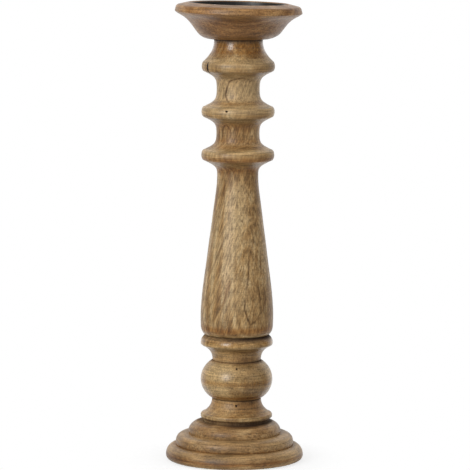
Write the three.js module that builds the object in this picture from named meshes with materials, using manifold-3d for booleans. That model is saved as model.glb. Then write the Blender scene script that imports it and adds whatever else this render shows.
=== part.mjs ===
// Turned wooden candle holder: a stepped foot, a ball section and a tapered column with three rings carry
// a moulded dish, and a loose metal pan lies in the dish under the candle.
// Millimetres, +Z up, origin on the ground under the axis.

import Module from 'manifold-3d';
import {
  BufferAttribute,
  BufferGeometry,
  CubicBezierCurve,
  EllipseCurve,
  ExtrudeGeometry,
  Group,
  LatheGeometry,
  MathUtils,
  Mesh,
  MeshStandardMaterial,
  Shape,
  Vector2,
} from 'three';
import { mergeVertices } from 'three/addons/utils/BufferGeometryUtils.js';

const wasm = await Module();
wasm.setup();

// Felt pads under the foot
const FELT_COUNT = 4;
const FELT_RADIUS = 9;
const FELT_THICKNESS = 1.4;
const FELT_CIRCLE_RADIUS = 56;

// Foot: three rounded steps, the lowest one first
const FOOT_RADIUS = 75.5;
const FOOT_EDGE_INSET = 2.4;
const FOOT_LOWER_HEIGHT = 15.5;
const FOOT_LOWER_BULGE = 4.2;
const FOOT_MIDDLE_RADIUS = 64.8;
const FOOT_MIDDLE_HEIGHT = 12.4;
const FOOT_MIDDLE_BULGE = 2.3;
const FOOT_UPPER_RADIUS = 50.8;
const FOOT_UPPER_HEIGHT = 13.7;
const FOOT_UPPER_BULGE = 2.8;
const FOOT_LAND_RADIUS = 37;
const FOOT_CREASE = 0.5;
const COUNTERBORE_RADIUS = 13;
const COUNTERBORE_DEPTH = 12;

// Ball section: collar, flared lip and cove, ball, cove and bead
const COLLAR_RADIUS = 36.4;
const COLLAR_HEIGHT = 4;
const LIP_RADIUS = 39.3;
const LIP_HEIGHT = 4.2;
const LIP_ROUND = 1;
const FLARE_HEIGHT = 17;
const FLARE_SLOPE = MathUtils.degToRad(32);
const FLARE_NECK_RADIUS = 27;
const BALL_RADIUS = 39.4;
const BALL_HEIGHT = 42.8;
const BALL_CREASE = 0.6;
const BEAD_NECK_RADIUS = 26.6;
const BEAD_COVE_HEIGHT = 16.1;
const BEAD_SLOPE = MathUtils.degToRad(24);
const BEAD_RADIUS = 39.7;
const BEAD_NOSE_DEPTH = 1.7;
const BEAD_NOSE_HEIGHT = 2.6;
const BEAD_CROWN_HEIGHT = 9;
const GROOVE_RADIUS = 34.2;

// Column: rounded lower corner, belly, straight taper, throat, three rings and the neck under the dish
const CORNER_HEIGHT = 10.4;
const BELLY_RADIUS = 39.8;
const BELLY_SET_BACK = 0.15;
const BELLY_HEIGHT = 6.8;
const BELLY_CURVE_LENGTH = 36;
const TAPER_LENGTH = 106;
const THROAT_CURVE_LENGTH = 17;
const THROAT_RADIUS = 22.4;
const THROAT_TO_RING = 21.45;
const RING_RADIUS = 39.8;
const RING_NOSE_DEPTH = 1.85;
const RING_HALF_WIDTH = 5.3;
const RING_FLANK = MathUtils.degToRad(25);
const RING_LOWER_PITCH = 47.2;
const RING_UPPER_PITCH = 49.7;
const NECK_RADIUS = 23.45;
const TOP_FLANK = MathUtils.degToRad(42);
const TOP_NECK_RADIUS = 26.5;
const TOP_NECK_LENGTH = 29.45;

// Dish: heel, ogee underside, bevel, tapered band, and a rim top that rises inwards to the recess
const DISH_RADIUS = 69.6;
const DISH_LAND_RADIUS = 29;
const DISH_HEEL_RADIUS = 40.2;
const DISH_HEEL_HEIGHT = 8.2;
const DISH_HEEL_SLOPE = MathUtils.degToRad(53);
const DISH_OGEE_HEIGHT = 18.1;
const DISH_OGEE_LOWER_PULL = 10.5;
const DISH_OGEE_UPPER_PULL = 11.3;
const DISH_OGEE_UPPER_SLOPE = MathUtils.degToRad(25);
const DISH_BEVEL_DEPTH = 3.9;
const DISH_BEVEL_HEIGHT = 2.7;
const DISH_BAND_HEIGHT = 6.8;
const DISH_BAND_TAPER = 1.9;
const DISH_RIM_ROUND = 2.2;
const DISH_RIM_RISE = 3.1;
const DISH_INNER_ROUND = 1.2;
const PAN_RECESS_DEPTH = 8;

// Pan: pressed sheet with a rounded corner and a rounded upper edge
const PAN_RADIUS = 53.1;
const PAN_HEIGHT = 7;
const PAN_WALL = 1.2;
const PAN_CORNER = 3.2;
const PAN_CLEARANCE = 0.5;

// Joints between the wooden pieces
const SPIGOT_RADIUS = 16;
const SPIGOT_LENGTH = 18;
const DOWEL_RADIUS = 10;
const DOWEL_LENGTH = 60;
const TENON_RADIUS = 14;
const TENON_LENGTH = 15;
const END_CHAMFER = 1;
const GLUE_LINE = 0.1;
const FIT_GAP = 0.3;
const END_GAP = 0.5;

// Wood screws, each with a cross recess, and the washer under the lower one
const FOOT_SCREW_CORE = 3;
const FOOT_SCREW_LENGTH = 60;
const FOOT_SCREW_HEAD_RADIUS = 6;
const FOOT_SCREW_HEAD_HEIGHT = 4;
const WASHER_RADIUS = 10;
const WASHER_THICKNESS = 1.6;
const DISH_SCREW_CORE = 2.2;
const DISH_SCREW_LENGTH = 48;
const DISH_SCREW_HEAD_RADIUS = 4.8;
const DISH_SCREW_HEAD_HEIGHT = 2.8;
const DISH_SCREW_RIM = 0.4;
const SCREW_POINT_LENGTH = 6;
const CROSS_SPAN = 5;
const CROSS_WIDTH = 1.3;
const CROSS_DEPTH = 2;

// Fineness of the turned surfaces
const TURN_FACETS = 32;
const SMALL_FACETS = 20;
const SWELL_STEPS = 4;
const COVE_STEPS = 5;
const SAME_POINT = 1e-4;

// Shape of the curves: how far a swell turns from its widest point, and how closely a cove fills its corner
const STEP_TURN = MathUtils.degToRad(75);
const NOSE_TURN = MathUtils.degToRad(70);
const CROWN_TURN = MathUtils.degToRad(60);
const BALL_TURN = MathUtils.degToRad(61);
const CORNER_TURN = MathUtils.degToRad(80);
const LOWER_STEP_FILL = 0.6;
const MIDDLE_STEP_FILL = 0.74;
const UPPER_STEP_FILL = 0.5;
const ROUND_FILL = 0.55;
const SOFT_FILL = 0.68;
const TIGHT_FILL = 0.91;

// Heights that follow from the sizes above
const FOOT_HEIGHT = FOOT_LOWER_HEIGHT + FOOT_MIDDLE_HEIGHT + FOOT_UPPER_HEIGHT;
const LIP_TOP = COLLAR_HEIGHT + LIP_HEIGHT;
const BALL_BOTTOM = LIP_TOP + FLARE_HEIGHT;
const BALL_TOP = BALL_BOTTOM + BALL_HEIGHT;
const BEAD_EDGE = BALL_TOP + BEAD_COVE_HEIGHT;
const BEAD_CREST = BEAD_EDGE + BEAD_NOSE_HEIGHT;
const BALL_SECTION_HEIGHT = BEAD_CREST + BEAD_CROWN_HEIGHT;
const TAPER_BOTTOM = CORNER_HEIGHT + BELLY_HEIGHT + BELLY_CURVE_LENGTH;
const TAPER_TOP = TAPER_BOTTOM + TAPER_LENGTH;
const THROAT_TOP = TAPER_TOP + THROAT_CURVE_LENGTH;
const LOWER_RING = THROAT_TOP + THROAT_TO_RING;
const MIDDLE_RING = LOWER_RING + RING_LOWER_PITCH;
const UPPER_RING = MIDDLE_RING + RING_UPPER_PITCH;
const COLUMN_HEIGHT = UPPER_RING + TOP_NECK_LENGTH;
const DISH_OGEE_TOP = DISH_HEEL_HEIGHT + DISH_OGEE_HEIGHT;
const DISH_BAND_BOTTOM = DISH_OGEE_TOP + DISH_BEVEL_HEIGHT;
const DISH_BAND_TOP = DISH_BAND_BOTTOM + DISH_BAND_HEIGHT;
const DISH_HEIGHT = DISH_BAND_TOP + DISH_RIM_RISE;
const PAN_RECESS_FLOOR = DISH_HEIGHT - PAN_RECESS_DEPTH;

// Places of the pieces along the axis
const FOOT_SEAT = FELT_THICKNESS + GLUE_LINE;
const BALL_SECTION_SEAT = FOOT_SEAT + FOOT_HEIGHT + GLUE_LINE;
const COLUMN_SEAT = BALL_SECTION_SEAT + BALL_SECTION_HEIGHT + GLUE_LINE;
const DISH_SEAT = COLUMN_SEAT + COLUMN_HEIGHT + GLUE_LINE;
const PAN_SEAT = DISH_SEAT + PAN_RECESS_FLOOR + GLUE_LINE;
const WASHER_SEAT = FOOT_SEAT + COUNTERBORE_DEPTH - GLUE_LINE - WASHER_THICKNESS;
const FOOT_SCREW_SEAT = WASHER_SEAT - GLUE_LINE - FOOT_SCREW_HEAD_HEIGHT;
const DISH_SCREW_SEAT = DISH_SEAT + PAN_RECESS_FLOOR - FIT_GAP;

const mangoWood = new MeshStandardMaterial({ color: 0x9a7850, roughness: 0.45, metalness: 0 });
const shadedWood = new MeshStandardMaterial({ color: 0x8a683f, roughness: 0.5, metalness: 0 });
const dowelWood = new MeshStandardMaterial({ color: 0xc9a878, roughness: 0.8, metalness: 0 });
const blackEnamel = new MeshStandardMaterial({ color: 0x2a2928, roughness: 0.4, metalness: 0.5 });
const zincSteel = new MeshStandardMaterial({ color: 0xb4b2aa, roughness: 0.35, metalness: 1 });
const darkFelt = new MeshStandardMaterial({ color: 0x3d342c, roughness: 1, metalness: 0 });

// A point of a turned outline: x is the radius and y the height
function at(radius, height) {
  return new Vector2(radius, height);
}

// An elliptic swell from its widest point, where it stands upright, to an end point
function swell(widest, end, turn) {
  const reach = (widest.x - end.x) / (1 - Math.cos(turn));
  const rise = (end.y - widest.y) / Math.sin(turn);
  return new EllipseCurve(widest.x - reach, widest.y, reach, rise, 0, turn).getPoints(SWELL_STEPS);
}

// A curve that leaves the start and reaches the end along the two lines through the corner
function cove(start, corner, end, fill) {
  const leaving = start.clone().lerp(corner, fill);
  const arriving = end.clone().lerp(corner, fill);
  return new CubicBezierCurve(start, leaving, arriving, end).getPoints(COVE_STEPS);
}

// The point at a given distance from one point towards another
function towards(start, end, distance) {
  return start.clone().lerp(end, distance / start.distanceTo(end));
}

// A solid of revolution about +Z from an outline that ends on the axis or closes on itself
function turned(outline, facets = TURN_FACETS) {
  const points = outline.filter((point, i) => i === 0 || point.distanceTo(outline[i - 1]) > SAME_POINT);
  return new LatheGeometry(points, facets).rotateX(Math.PI / 2);
}

function solidOf(geometry) {
  const bare = geometry.clone();
  bare.deleteAttribute('normal');
  bare.deleteAttribute('uv');
  const merged = mergeVertices(bare, SAME_POINT);
  const index = merged.index.array;
  const kept = [];
  for (let i = 0; i < index.length; i += 3) {
    const [a, b, c] = index.slice(i, i + 3);
    if (a !== b && b !== c && c !== a) {
      kept.push(a, b, c);
    }
  }
  const vertProperties = merged.attributes.position.array;
  return new wasm.Manifold(new wasm.Mesh({ numProp: 3, vertProperties, triVerts: new Uint32Array(kept) }));
}

function cut(body, tool) {
  const mesh = solidOf(body).subtract(solidOf(tool)).getMesh();
  const geometry = new BufferGeometry();
  geometry.setAttribute('position', new BufferAttribute(mesh.vertProperties, 3));
  geometry.setIndex(new BufferAttribute(mesh.triVerts, 1));
  geometry.computeVertexNormals();
  return geometry;
}

function piece(name, geometry, material, height) {
  const mesh = new Mesh(geometry, material);
  mesh.name = name;
  mesh.position.z = height;
  return mesh;
}

// One rounded step of the foot, from the crease at its lower edge to the crease where the next one starts
function footStep(radius, inset, bottom, bulge, nextRadius, top, fill) {
  const widest = at(radius, bottom + bulge);
  return [
    ...swell(widest, at(radius - inset, bottom), STEP_TURN).reverse(),
    ...cove(widest, at(radius, top), at(nextRadius, top), fill),
  ];
}

function footGeometry() {
  const middle = FOOT_LOWER_HEIGHT;
  const upper = middle + FOOT_MIDDLE_HEIGHT;
  const middleCrease = FOOT_MIDDLE_RADIUS - FOOT_CREASE;
  const upperCrease = FOOT_UPPER_RADIUS - FOOT_CREASE;
  const lowerStep = footStep(
    FOOT_RADIUS, FOOT_EDGE_INSET, 0, FOOT_LOWER_BULGE, middleCrease, middle, LOWER_STEP_FILL,
  );
  const middleStep = footStep(
    FOOT_MIDDLE_RADIUS, FOOT_CREASE, middle, FOOT_MIDDLE_BULGE, upperCrease, upper, MIDDLE_STEP_FILL,
  );
  const upperStep = footStep(
    FOOT_UPPER_RADIUS, FOOT_CREASE, upper, FOOT_UPPER_BULGE, FOOT_LAND_RADIUS, FOOT_HEIGHT, UPPER_STEP_FILL,
  );
  const screwHole = FOOT_SCREW_CORE + FIT_GAP;
  const socketRadius = SPIGOT_RADIUS + FIT_GAP;
  const socketFloor = FOOT_HEIGHT + GLUE_LINE - SPIGOT_LENGTH - END_GAP;
  return turned([
    at(screwHole, COUNTERBORE_DEPTH),
    at(COUNTERBORE_RADIUS, COUNTERBORE_DEPTH),
    at(COUNTERBORE_RADIUS, END_CHAMFER),
    at(COUNTERBORE_RADIUS + END_CHAMFER, 0),
    ...lowerStep,
    ...middleStep,
    ...upperStep,
    at(socketRadius + END_CHAMFER, FOOT_HEIGHT),
    at(socketRadius, FOOT_HEIGHT - END_CHAMFER),
    at(socketRadius, socketFloor),
    at(screwHole, socketFloor),
    at(screwHole, COUNTERBORE_DEPTH),
  ]);
}

function ballSectionGeometry() {
  const pilotRadius = FOOT_SCREW_CORE + FIT_GAP;
  const pilotEnd = WASHER_SEAT + WASHER_THICKNESS + FOOT_SCREW_LENGTH + END_GAP - BALL_SECTION_SEAT;
  const boreRadius = DOWEL_RADIUS + FIT_GAP;
  const boreEnd = BALL_SECTION_HEIGHT - DOWEL_LENGTH / 2 - END_GAP;
  const lipShoulder = at(LIP_RADIUS - LIP_ROUND, LIP_TOP);
  const flareCorner = at(FLARE_NECK_RADIUS, LIP_TOP + (lipShoulder.x - FLARE_NECK_RADIUS) * Math.tan(FLARE_SLOPE));
  const ballCrest = at(BALL_RADIUS, (BALL_BOTTOM + BALL_TOP) / 2);
  const beadEdge = at(BEAD_RADIUS - BEAD_NOSE_DEPTH, BEAD_EDGE);
  const beadCorner = at(BEAD_NECK_RADIUS, BEAD_EDGE - (beadEdge.x - BEAD_NECK_RADIUS) * Math.tan(BEAD_SLOPE));
  const beadCrest = at(BEAD_RADIUS, BEAD_CREST);
  return turned([
    at(0, pilotEnd),
    at(pilotRadius, pilotEnd),
    at(pilotRadius, -SPIGOT_LENGTH),
    at(SPIGOT_RADIUS - END_CHAMFER, -SPIGOT_LENGTH),
    at(SPIGOT_RADIUS, END_CHAMFER - SPIGOT_LENGTH),
    at(SPIGOT_RADIUS, 0),
    at(COLLAR_RADIUS, 0),
    at(COLLAR_RADIUS, COLLAR_HEIGHT),
    at(LIP_RADIUS - LIP_ROUND, COLLAR_HEIGHT),
    at(LIP_RADIUS, COLLAR_HEIGHT + LIP_ROUND),
    at(LIP_RADIUS, LIP_TOP - LIP_ROUND),
    ...cove(lipShoulder, flareCorner, at(FLARE_NECK_RADIUS, BALL_BOTTOM), SOFT_FILL),
    ...swell(ballCrest, at(FLARE_NECK_RADIUS - BALL_CREASE, BALL_BOTTOM), BALL_TURN).reverse(),
    ...swell(ballCrest, at(BEAD_NECK_RADIUS - BALL_CREASE, BALL_TOP), BALL_TURN),
    ...cove(at(BEAD_NECK_RADIUS, BALL_TOP), beadCorner, beadEdge, SOFT_FILL),
    ...swell(beadCrest, beadEdge, NOSE_TURN).reverse(),
    ...swell(beadCrest, at(GROOVE_RADIUS, BALL_SECTION_HEIGHT), CROWN_TURN),
    at(boreRadius, BALL_SECTION_HEIGHT),
    at(boreRadius, boreEnd),
    at(0, boreEnd),
  ]);
}

function dowelGeometry() {
  return turned([
    at(0, -DOWEL_LENGTH / 2),
    at(DOWEL_RADIUS - END_CHAMFER, -DOWEL_LENGTH / 2),
    at(DOWEL_RADIUS, END_CHAMFER - DOWEL_LENGTH / 2),
    at(DOWEL_RADIUS, DOWEL_LENGTH / 2 - END_CHAMFER),
    at(DOWEL_RADIUS - END_CHAMFER, DOWEL_LENGTH / 2),
    at(0, DOWEL_LENGTH / 2),
  ], SMALL_FACETS);
}

// One ring of the column, from the neck below it over its nose to the neck above it
function ring(neckBelow, crestHeight, neckAbove, flankAbove, fillAbove) {
  const crest = at(RING_RADIUS, crestHeight);
  const lower = at(RING_RADIUS - RING_NOSE_DEPTH, crestHeight - RING_HALF_WIDTH);
  const upper = at(RING_RADIUS - RING_NOSE_DEPTH, crestHeight + RING_HALF_WIDTH);
  const cornerBelow = at(neckBelow.x, lower.y - (lower.x - neckBelow.x) * Math.tan(RING_FLANK));
  const cornerAbove = at(neckAbove.x, upper.y + (upper.x - neckAbove.x) * Math.tan(flankAbove));
  return [
    ...cove(neckBelow, cornerBelow, lower, TIGHT_FILL),
    ...swell(crest, lower, NOSE_TURN).reverse(),
    ...swell(crest, upper, NOSE_TURN),
    ...cove(upper, cornerAbove, neckAbove, fillAbove),
  ];
}

function columnGeometry() {
  const boreRadius = DOWEL_RADIUS + FIT_GAP;
  const boreEnd = DOWEL_LENGTH / 2 + END_GAP;
  const pilotRadius = DISH_SCREW_CORE + FIT_GAP;
  const pilotEnd = DISH_SCREW_SEAT - DISH_SCREW_LENGTH - END_GAP - COLUMN_SEAT;
  const tenonTop = COLUMN_HEIGHT + TENON_LENGTH;
  // The straight taper runs between the corners of the belly's curve and the throat's curve
  const bellyCorner = at(BELLY_RADIUS, TAPER_BOTTOM - BELLY_CURVE_LENGTH / 2);
  const throatCorner = at(THROAT_RADIUS, TAPER_TOP + THROAT_CURVE_LENGTH / 2);
  const slope = (BELLY_RADIUS - THROAT_RADIUS) / (throatCorner.y - bellyCorner.y);
  const taperBottom = at(BELLY_RADIUS - slope * (TAPER_BOTTOM - bellyCorner.y), TAPER_BOTTOM);
  const taperTop = at(THROAT_RADIUS + slope * (throatCorner.y - TAPER_TOP), TAPER_TOP);
  const belly = at(BELLY_RADIUS, CORNER_HEIGHT + BELLY_HEIGHT);
  const throat = at(THROAT_RADIUS, THROAT_TOP);
  const lowerNeck = at(NECK_RADIUS, LOWER_RING + RING_LOWER_PITCH / 2);
  const upperNeck = at(NECK_RADIUS, MIDDLE_RING + RING_UPPER_PITCH / 2);
  const topNeck = at(TOP_NECK_RADIUS, COLUMN_HEIGHT - END_CHAMFER);
  return turned([
    at(0, boreEnd),
    at(boreRadius, boreEnd),
    at(boreRadius, 0),
    ...swell(at(BELLY_RADIUS - BELLY_SET_BACK, CORNER_HEIGHT), at(GROOVE_RADIUS, 0), CORNER_TURN).reverse(),
    ...cove(belly, bellyCorner, taperBottom, SOFT_FILL),
    ...cove(taperTop, throatCorner, throat, SOFT_FILL),
    ...ring(throat, LOWER_RING, lowerNeck, RING_FLANK, TIGHT_FILL),
    ...ring(lowerNeck, MIDDLE_RING, upperNeck, RING_FLANK, TIGHT_FILL),
    ...ring(upperNeck, UPPER_RING, topNeck, TOP_FLANK, SOFT_FILL),
    at(TOP_NECK_RADIUS, COLUMN_HEIGHT),
    at(TENON_RADIUS, COLUMN_HEIGHT),
    at(TENON_RADIUS, tenonTop - END_CHAMFER),
    at(TENON_RADIUS - END_CHAMFER, tenonTop),
    at(pilotRadius, tenonTop),
    at(pilotRadius, pilotEnd),
    at(0, pilotEnd),
  ]);
}

function dishGeometry() {
  const socketRadius = TENON_RADIUS + FIT_GAP;
  const socketTop = TENON_LENGTH - GLUE_LINE + END_GAP;
  const screwHole = DISH_SCREW_CORE + FIT_GAP;
  const countersinkRadius = DISH_SCREW_HEAD_RADIUS + FIT_GAP;
  const countersinkEdge = PAN_RECESS_FLOOR - FIT_GAP - DISH_SCREW_RIM;
  const countersinkEnd = PAN_RECESS_FLOOR - FIT_GAP - DISH_SCREW_HEAD_HEIGHT;
  const recessRadius = PAN_RADIUS + PAN_CLEARANCE;
  const heelCorner = at(DISH_HEEL_RADIUS, 0);
  const heelTop = at(DISH_HEEL_RADIUS + DISH_HEEL_HEIGHT / Math.tan(DISH_HEEL_SLOPE), DISH_HEEL_HEIGHT);
  const heelPull = at(Math.cos(DISH_HEEL_SLOPE), Math.sin(DISH_HEEL_SLOPE)).multiplyScalar(DISH_OGEE_LOWER_PULL);
  const ogeeTop = at(DISH_RADIUS - DISH_BEVEL_DEPTH, DISH_OGEE_TOP);
  const ogeeSlope = at(Math.cos(DISH_OGEE_UPPER_SLOPE), Math.sin(DISH_OGEE_UPPER_SLOPE));
  const ogeePull = ogeeSlope.multiplyScalar(DISH_OGEE_UPPER_PULL);
  const ogee = new CubicBezierCurve(heelTop, heelTop.clone().add(heelPull), ogeeTop.clone().sub(ogeePull), ogeeTop);
  const bandEdge = at(DISH_RADIUS, DISH_BAND_BOTTOM);
  const rimCorner = at(DISH_RADIUS - DISH_BAND_TAPER, DISH_BAND_TOP);
  const innerEdge = at(recessRadius + DISH_INNER_ROUND, DISH_HEIGHT);
  const belowRim = towards(rimCorner, bandEdge, DISH_RIM_ROUND);
  const aboveRim = towards(rimCorner, innerEdge, DISH_RIM_ROUND);
  return turned([
    at(socketRadius, 0),
    ...cove(at(DISH_LAND_RADIUS, 0), heelCorner, heelTop, SOFT_FILL),
    ...ogee.getPoints(COVE_STEPS),
    bandEdge,
    ...cove(belowRim, rimCorner, aboveRim, ROUND_FILL),
    ...cove(innerEdge, at(recessRadius, DISH_HEIGHT), at(recessRadius, DISH_HEIGHT - DISH_INNER_ROUND), ROUND_FILL),
    at(recessRadius, PAN_RECESS_FLOOR),
    at(countersinkRadius, PAN_RECESS_FLOOR),
    at(countersinkRadius, countersinkEdge),
    at(screwHole, countersinkEnd),
    at(screwHole, socketTop),
    at(socketRadius, socketTop),
    at(socketRadius, 0),
  ]);
}

function panGeometry() {
  const inside = PAN_RADIUS - PAN_WALL;
  const insideCorner = PAN_CORNER - PAN_WALL;
  const edge = PAN_HEIGHT - PAN_WALL / 2;
  return turned([
    at(0, 0),
    ...cove(at(PAN_RADIUS - PAN_CORNER, 0), at(PAN_RADIUS, 0), at(PAN_RADIUS, PAN_CORNER), ROUND_FILL),
    at(PAN_RADIUS, edge),
    at(PAN_RADIUS - PAN_WALL / 2, PAN_HEIGHT),
    at(inside, edge),
    ...cove(at(inside, PAN_CORNER), at(inside, PAN_WALL), at(inside - insideCorner, PAN_WALL), ROUND_FILL),
    at(0, PAN_WALL),
  ]);
}

// Cross recess for a driver, sunk into a head whose top is at height 0
function crossRecess() {
  const long = CROSS_SPAN / 2;
  const short = CROSS_WIDTH / 2;
  const cross = new Shape([
    at(long, -short), at(long, short), at(short, short), at(short, long),
    at(-short, long), at(-short, short), at(-long, short), at(-long, -short),
    at(-short, -short), at(-short, -long), at(short, -long), at(short, -short),
  ]);
  const overshoot = CROSS_DEPTH;
  const depth = CROSS_DEPTH + overshoot;
  return new ExtrudeGeometry(cross, { depth, bevelEnabled: false }).translate(0, 0, -CROSS_DEPTH);
}

// Countersunk screw with the top of its head at height 0 and its point downwards
function dishScrewGeometry() {
  const body = turned([
    at(0, -DISH_SCREW_LENGTH),
    at(DISH_SCREW_CORE, SCREW_POINT_LENGTH - DISH_SCREW_LENGTH),
    at(DISH_SCREW_CORE, -DISH_SCREW_HEAD_HEIGHT),
    at(DISH_SCREW_HEAD_RADIUS, -DISH_SCREW_RIM),
    at(DISH_SCREW_HEAD_RADIUS, 0),
    at(0, 0),
  ], SMALL_FACETS);
  return cut(body, crossRecess());
}

// Round-headed screw with the top of its head at height 0 and its point downwards, to be turned over
function footScrewGeometry() {
  const headEdge = FOOT_SCREW_HEAD_RADIUS - END_CHAMFER;
  const body = turned([
    at(0, -FOOT_SCREW_HEAD_HEIGHT - FOOT_SCREW_LENGTH),
    at(FOOT_SCREW_CORE, SCREW_POINT_LENGTH - FOOT_SCREW_HEAD_HEIGHT - FOOT_SCREW_LENGTH),
    at(FOOT_SCREW_CORE, -FOOT_SCREW_HEAD_HEIGHT),
    at(FOOT_SCREW_HEAD_RADIUS, -FOOT_SCREW_HEAD_HEIGHT),
    at(FOOT_SCREW_HEAD_RADIUS, -FOOT_SCREW_HEAD_HEIGHT / 2),
    at(headEdge, -END_CHAMFER / 2),
    at(headEdge - END_CHAMFER, 0),
    at(0, 0),
  ], SMALL_FACETS);
  return cut(body, crossRecess());
}

function washerGeometry() {
  const hole = FOOT_SCREW_CORE + FIT_GAP;
  return turned([
    at(hole, 0),
    at(WASHER_RADIUS, 0),
    at(WASHER_RADIUS, WASHER_THICKNESS),
    at(hole, WASHER_THICKNESS),
    at(hole, 0),
  ], SMALL_FACETS);
}

function feltGeometry() {
  return turned([
    at(0, 0),
    at(FELT_RADIUS, 0),
    at(FELT_RADIUS, FELT_THICKNESS),
    at(0, FELT_THICKNESS),
  ], SMALL_FACETS);
}

function feltPads() {
  const pads = new Group();
  for (let i = 0; i < FELT_COUNT; i += 1) {
    const angle = (2 * Math.PI * (i + 0.5)) / FELT_COUNT;
    const pad = piece(`felt_pad_${i + 1}`, feltGeometry(), darkFelt, 0);
    pad.position.x = FELT_CIRCLE_RADIUS * Math.cos(angle);
    pad.position.y = FELT_CIRCLE_RADIUS * Math.sin(angle);
    pads.add(pad);
  }
  return pads;
}

const footScrew = piece('foot_screw', footScrewGeometry(), zincSteel, FOOT_SCREW_SEAT);
footScrew.rotation.x = Math.PI;

const candleHolder = new Group();
candleHolder.add(
  feltPads(),
  piece('foot', footGeometry(), mangoWood, FOOT_SEAT),
  piece('foot_washer', washerGeometry(), zincSteel, WASHER_SEAT),
  footScrew,
  piece('ball_section', ballSectionGeometry(), mangoWood, BALL_SECTION_SEAT),
  piece('column_dowel', dowelGeometry(), dowelWood, COLUMN_SEAT),
  piece('column', columnGeometry(), mangoWood, COLUMN_SEAT),
  piece('dish', dishGeometry(), shadedWood, DISH_SEAT),
  piece('dish_screw', dishScrewGeometry(), zincSteel, DISH_SCREW_SEAT),
  piece('pan', panGeometry(), blackEnamel, PAN_SEAT),
);

export default candleHolder;
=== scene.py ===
"""Looks of a turned wooden candle holder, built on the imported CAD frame.

Every piece is a fine surface of revolution, worked out with numpy from the same sizes as the CAD solids,
and stands where its CAD node stands. Sizes are millimetres in the classes and metres in the scene. Azimuth 0
is the front, which faces -Y, and azimuths grow towards +X.
"""

import logging
import math
from abc import ABC, abstractmethod
from dataclasses import dataclass
from enum import Enum
from functools import reduce
from typing import NamedTuple

import bpy
import numpy as np
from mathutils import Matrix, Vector


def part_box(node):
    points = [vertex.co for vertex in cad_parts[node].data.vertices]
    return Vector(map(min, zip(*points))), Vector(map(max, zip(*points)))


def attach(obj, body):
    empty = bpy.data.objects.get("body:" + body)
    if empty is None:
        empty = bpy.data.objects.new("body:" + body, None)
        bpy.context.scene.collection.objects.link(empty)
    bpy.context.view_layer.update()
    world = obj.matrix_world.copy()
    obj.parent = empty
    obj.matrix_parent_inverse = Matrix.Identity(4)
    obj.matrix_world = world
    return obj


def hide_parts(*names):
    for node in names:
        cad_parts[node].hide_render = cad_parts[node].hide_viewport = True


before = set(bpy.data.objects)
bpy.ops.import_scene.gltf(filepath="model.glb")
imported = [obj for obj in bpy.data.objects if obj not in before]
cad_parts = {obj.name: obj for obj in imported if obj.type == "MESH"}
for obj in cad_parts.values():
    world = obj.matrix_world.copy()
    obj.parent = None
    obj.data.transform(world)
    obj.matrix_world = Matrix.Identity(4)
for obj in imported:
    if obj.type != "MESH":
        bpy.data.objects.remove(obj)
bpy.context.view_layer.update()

MM = 0.001
TINY = 1e-6

Array = np.ndarray
Pair = tuple[float, float]
Point = Pair | Array
Triple = tuple[float, float, float]
Socket = bpy.types.NodeSocket
Outputs = bpy.types.NodeOutputs
Tree = bpy.types.NodeTree
Value = float | tuple[float, ...] | Socket
Inputs = dict[str | int, Value]

logger = logging.getLogger("candle_holder")


class Body(Enum):
    """CAD bodies that pieces ride on."""

    STAND = "stand"
    PAN = "pan"


class Slot(Enum):
    """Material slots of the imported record."""

    WOOD = "wood"
    DOWEL = "dowel_wood"
    ENAMEL = "black_enamel"
    ZINC = "zinc_steel"
    FELT = "felt"


class Kind(Enum):
    """Kinds of socket that the shared node groups use."""

    NUMBER = "NodeSocketFloat"
    VECTOR = "NodeSocketVector"


class Aim(Enum):
    """Which way a screw points."""

    UP = 1
    DOWN = -1


# Outlines: rows of radius and height in millimetres

# Intervals of a swell, a cove, a long curve, a rounded corner and an eased edge
SWELL_STEPS = 14
COVE_STEPS = 18
LONG_STEPS = 24
CORNER_STEPS = 8
EDGE_STEPS = 5

# Shares of the way to a corner at which a curve's handles lie: near a circle, an easy cove, a tight one
ROUND = 0.55
EASY = 0.68
TIGHT = 0.91

# Sampling step of the relief, and how many standard deviations its Gaussian reaches
RELIEF_STEP = 0.2
RELIEF_REACH = 3


def swell(widest: Point, end: Point, turn: float, steps: int = SWELL_STEPS) -> Array:
    """Makes an elliptic swell from its widest point, where it stands upright, to an end point.

    For an angle from 0 to turn, the radius falls with 1 - cos of it and the height changes with sin of it.

    Args:
        widest: Point of the largest radius.
        end: Last point.
        turn: Degrees of the ellipse that the curve runs through.
        steps: Number of intervals.

    Returns:
        Points of the curve, from widest to end.
    """
    angle = np.radians(np.linspace(0, turn, steps + 1))
    reach = (widest[0] - end[0]) / (1 - np.cos(angle[-1]))
    rise = (end[1] - widest[1]) / np.sin(angle[-1])
    return np.stack([widest[0] - reach * (1 - np.cos(angle)), widest[1] + rise * np.sin(angle)], axis=1)


def bezier(start: Point, leaving: Point, arriving: Point, end: Point, steps: int = COVE_STEPS) -> Array:
    """Makes a cubic Bezier curve.

    Args:
        start: First point.
        leaving: Handle that the curve leaves the start towards.
        arriving: Handle that the curve reaches the end from.
        end: Last point.
        steps: Number of intervals.

    Returns:
        Points of the curve, from start to end.
    """
    t = np.linspace(0, 1, steps + 1)[:, None]
    s = 1 - t
    return s**3 * start + 3 * s**2 * t * leaving + 3 * s * t**2 * arriving + t**3 * end


def cove(start: Point, corner: Point, end: Point, fill: float, steps: int = COVE_STEPS) -> Array:
    """Makes a curve that leaves the start and reaches the end along the two lines through the corner.

    Args:
        start: First point.
        corner: Where the two lines meet.
        end: Last point.
        fill: Share of the way to the corner at which the handles lie.
        steps: Number of intervals.

    Returns:
        Points of the curve, from start to end.
    """
    start, corner, end = np.array((start, corner, end), float)
    return bezier(start, start + (corner - start) * fill, end + (corner - end) * fill, end, steps)


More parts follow.
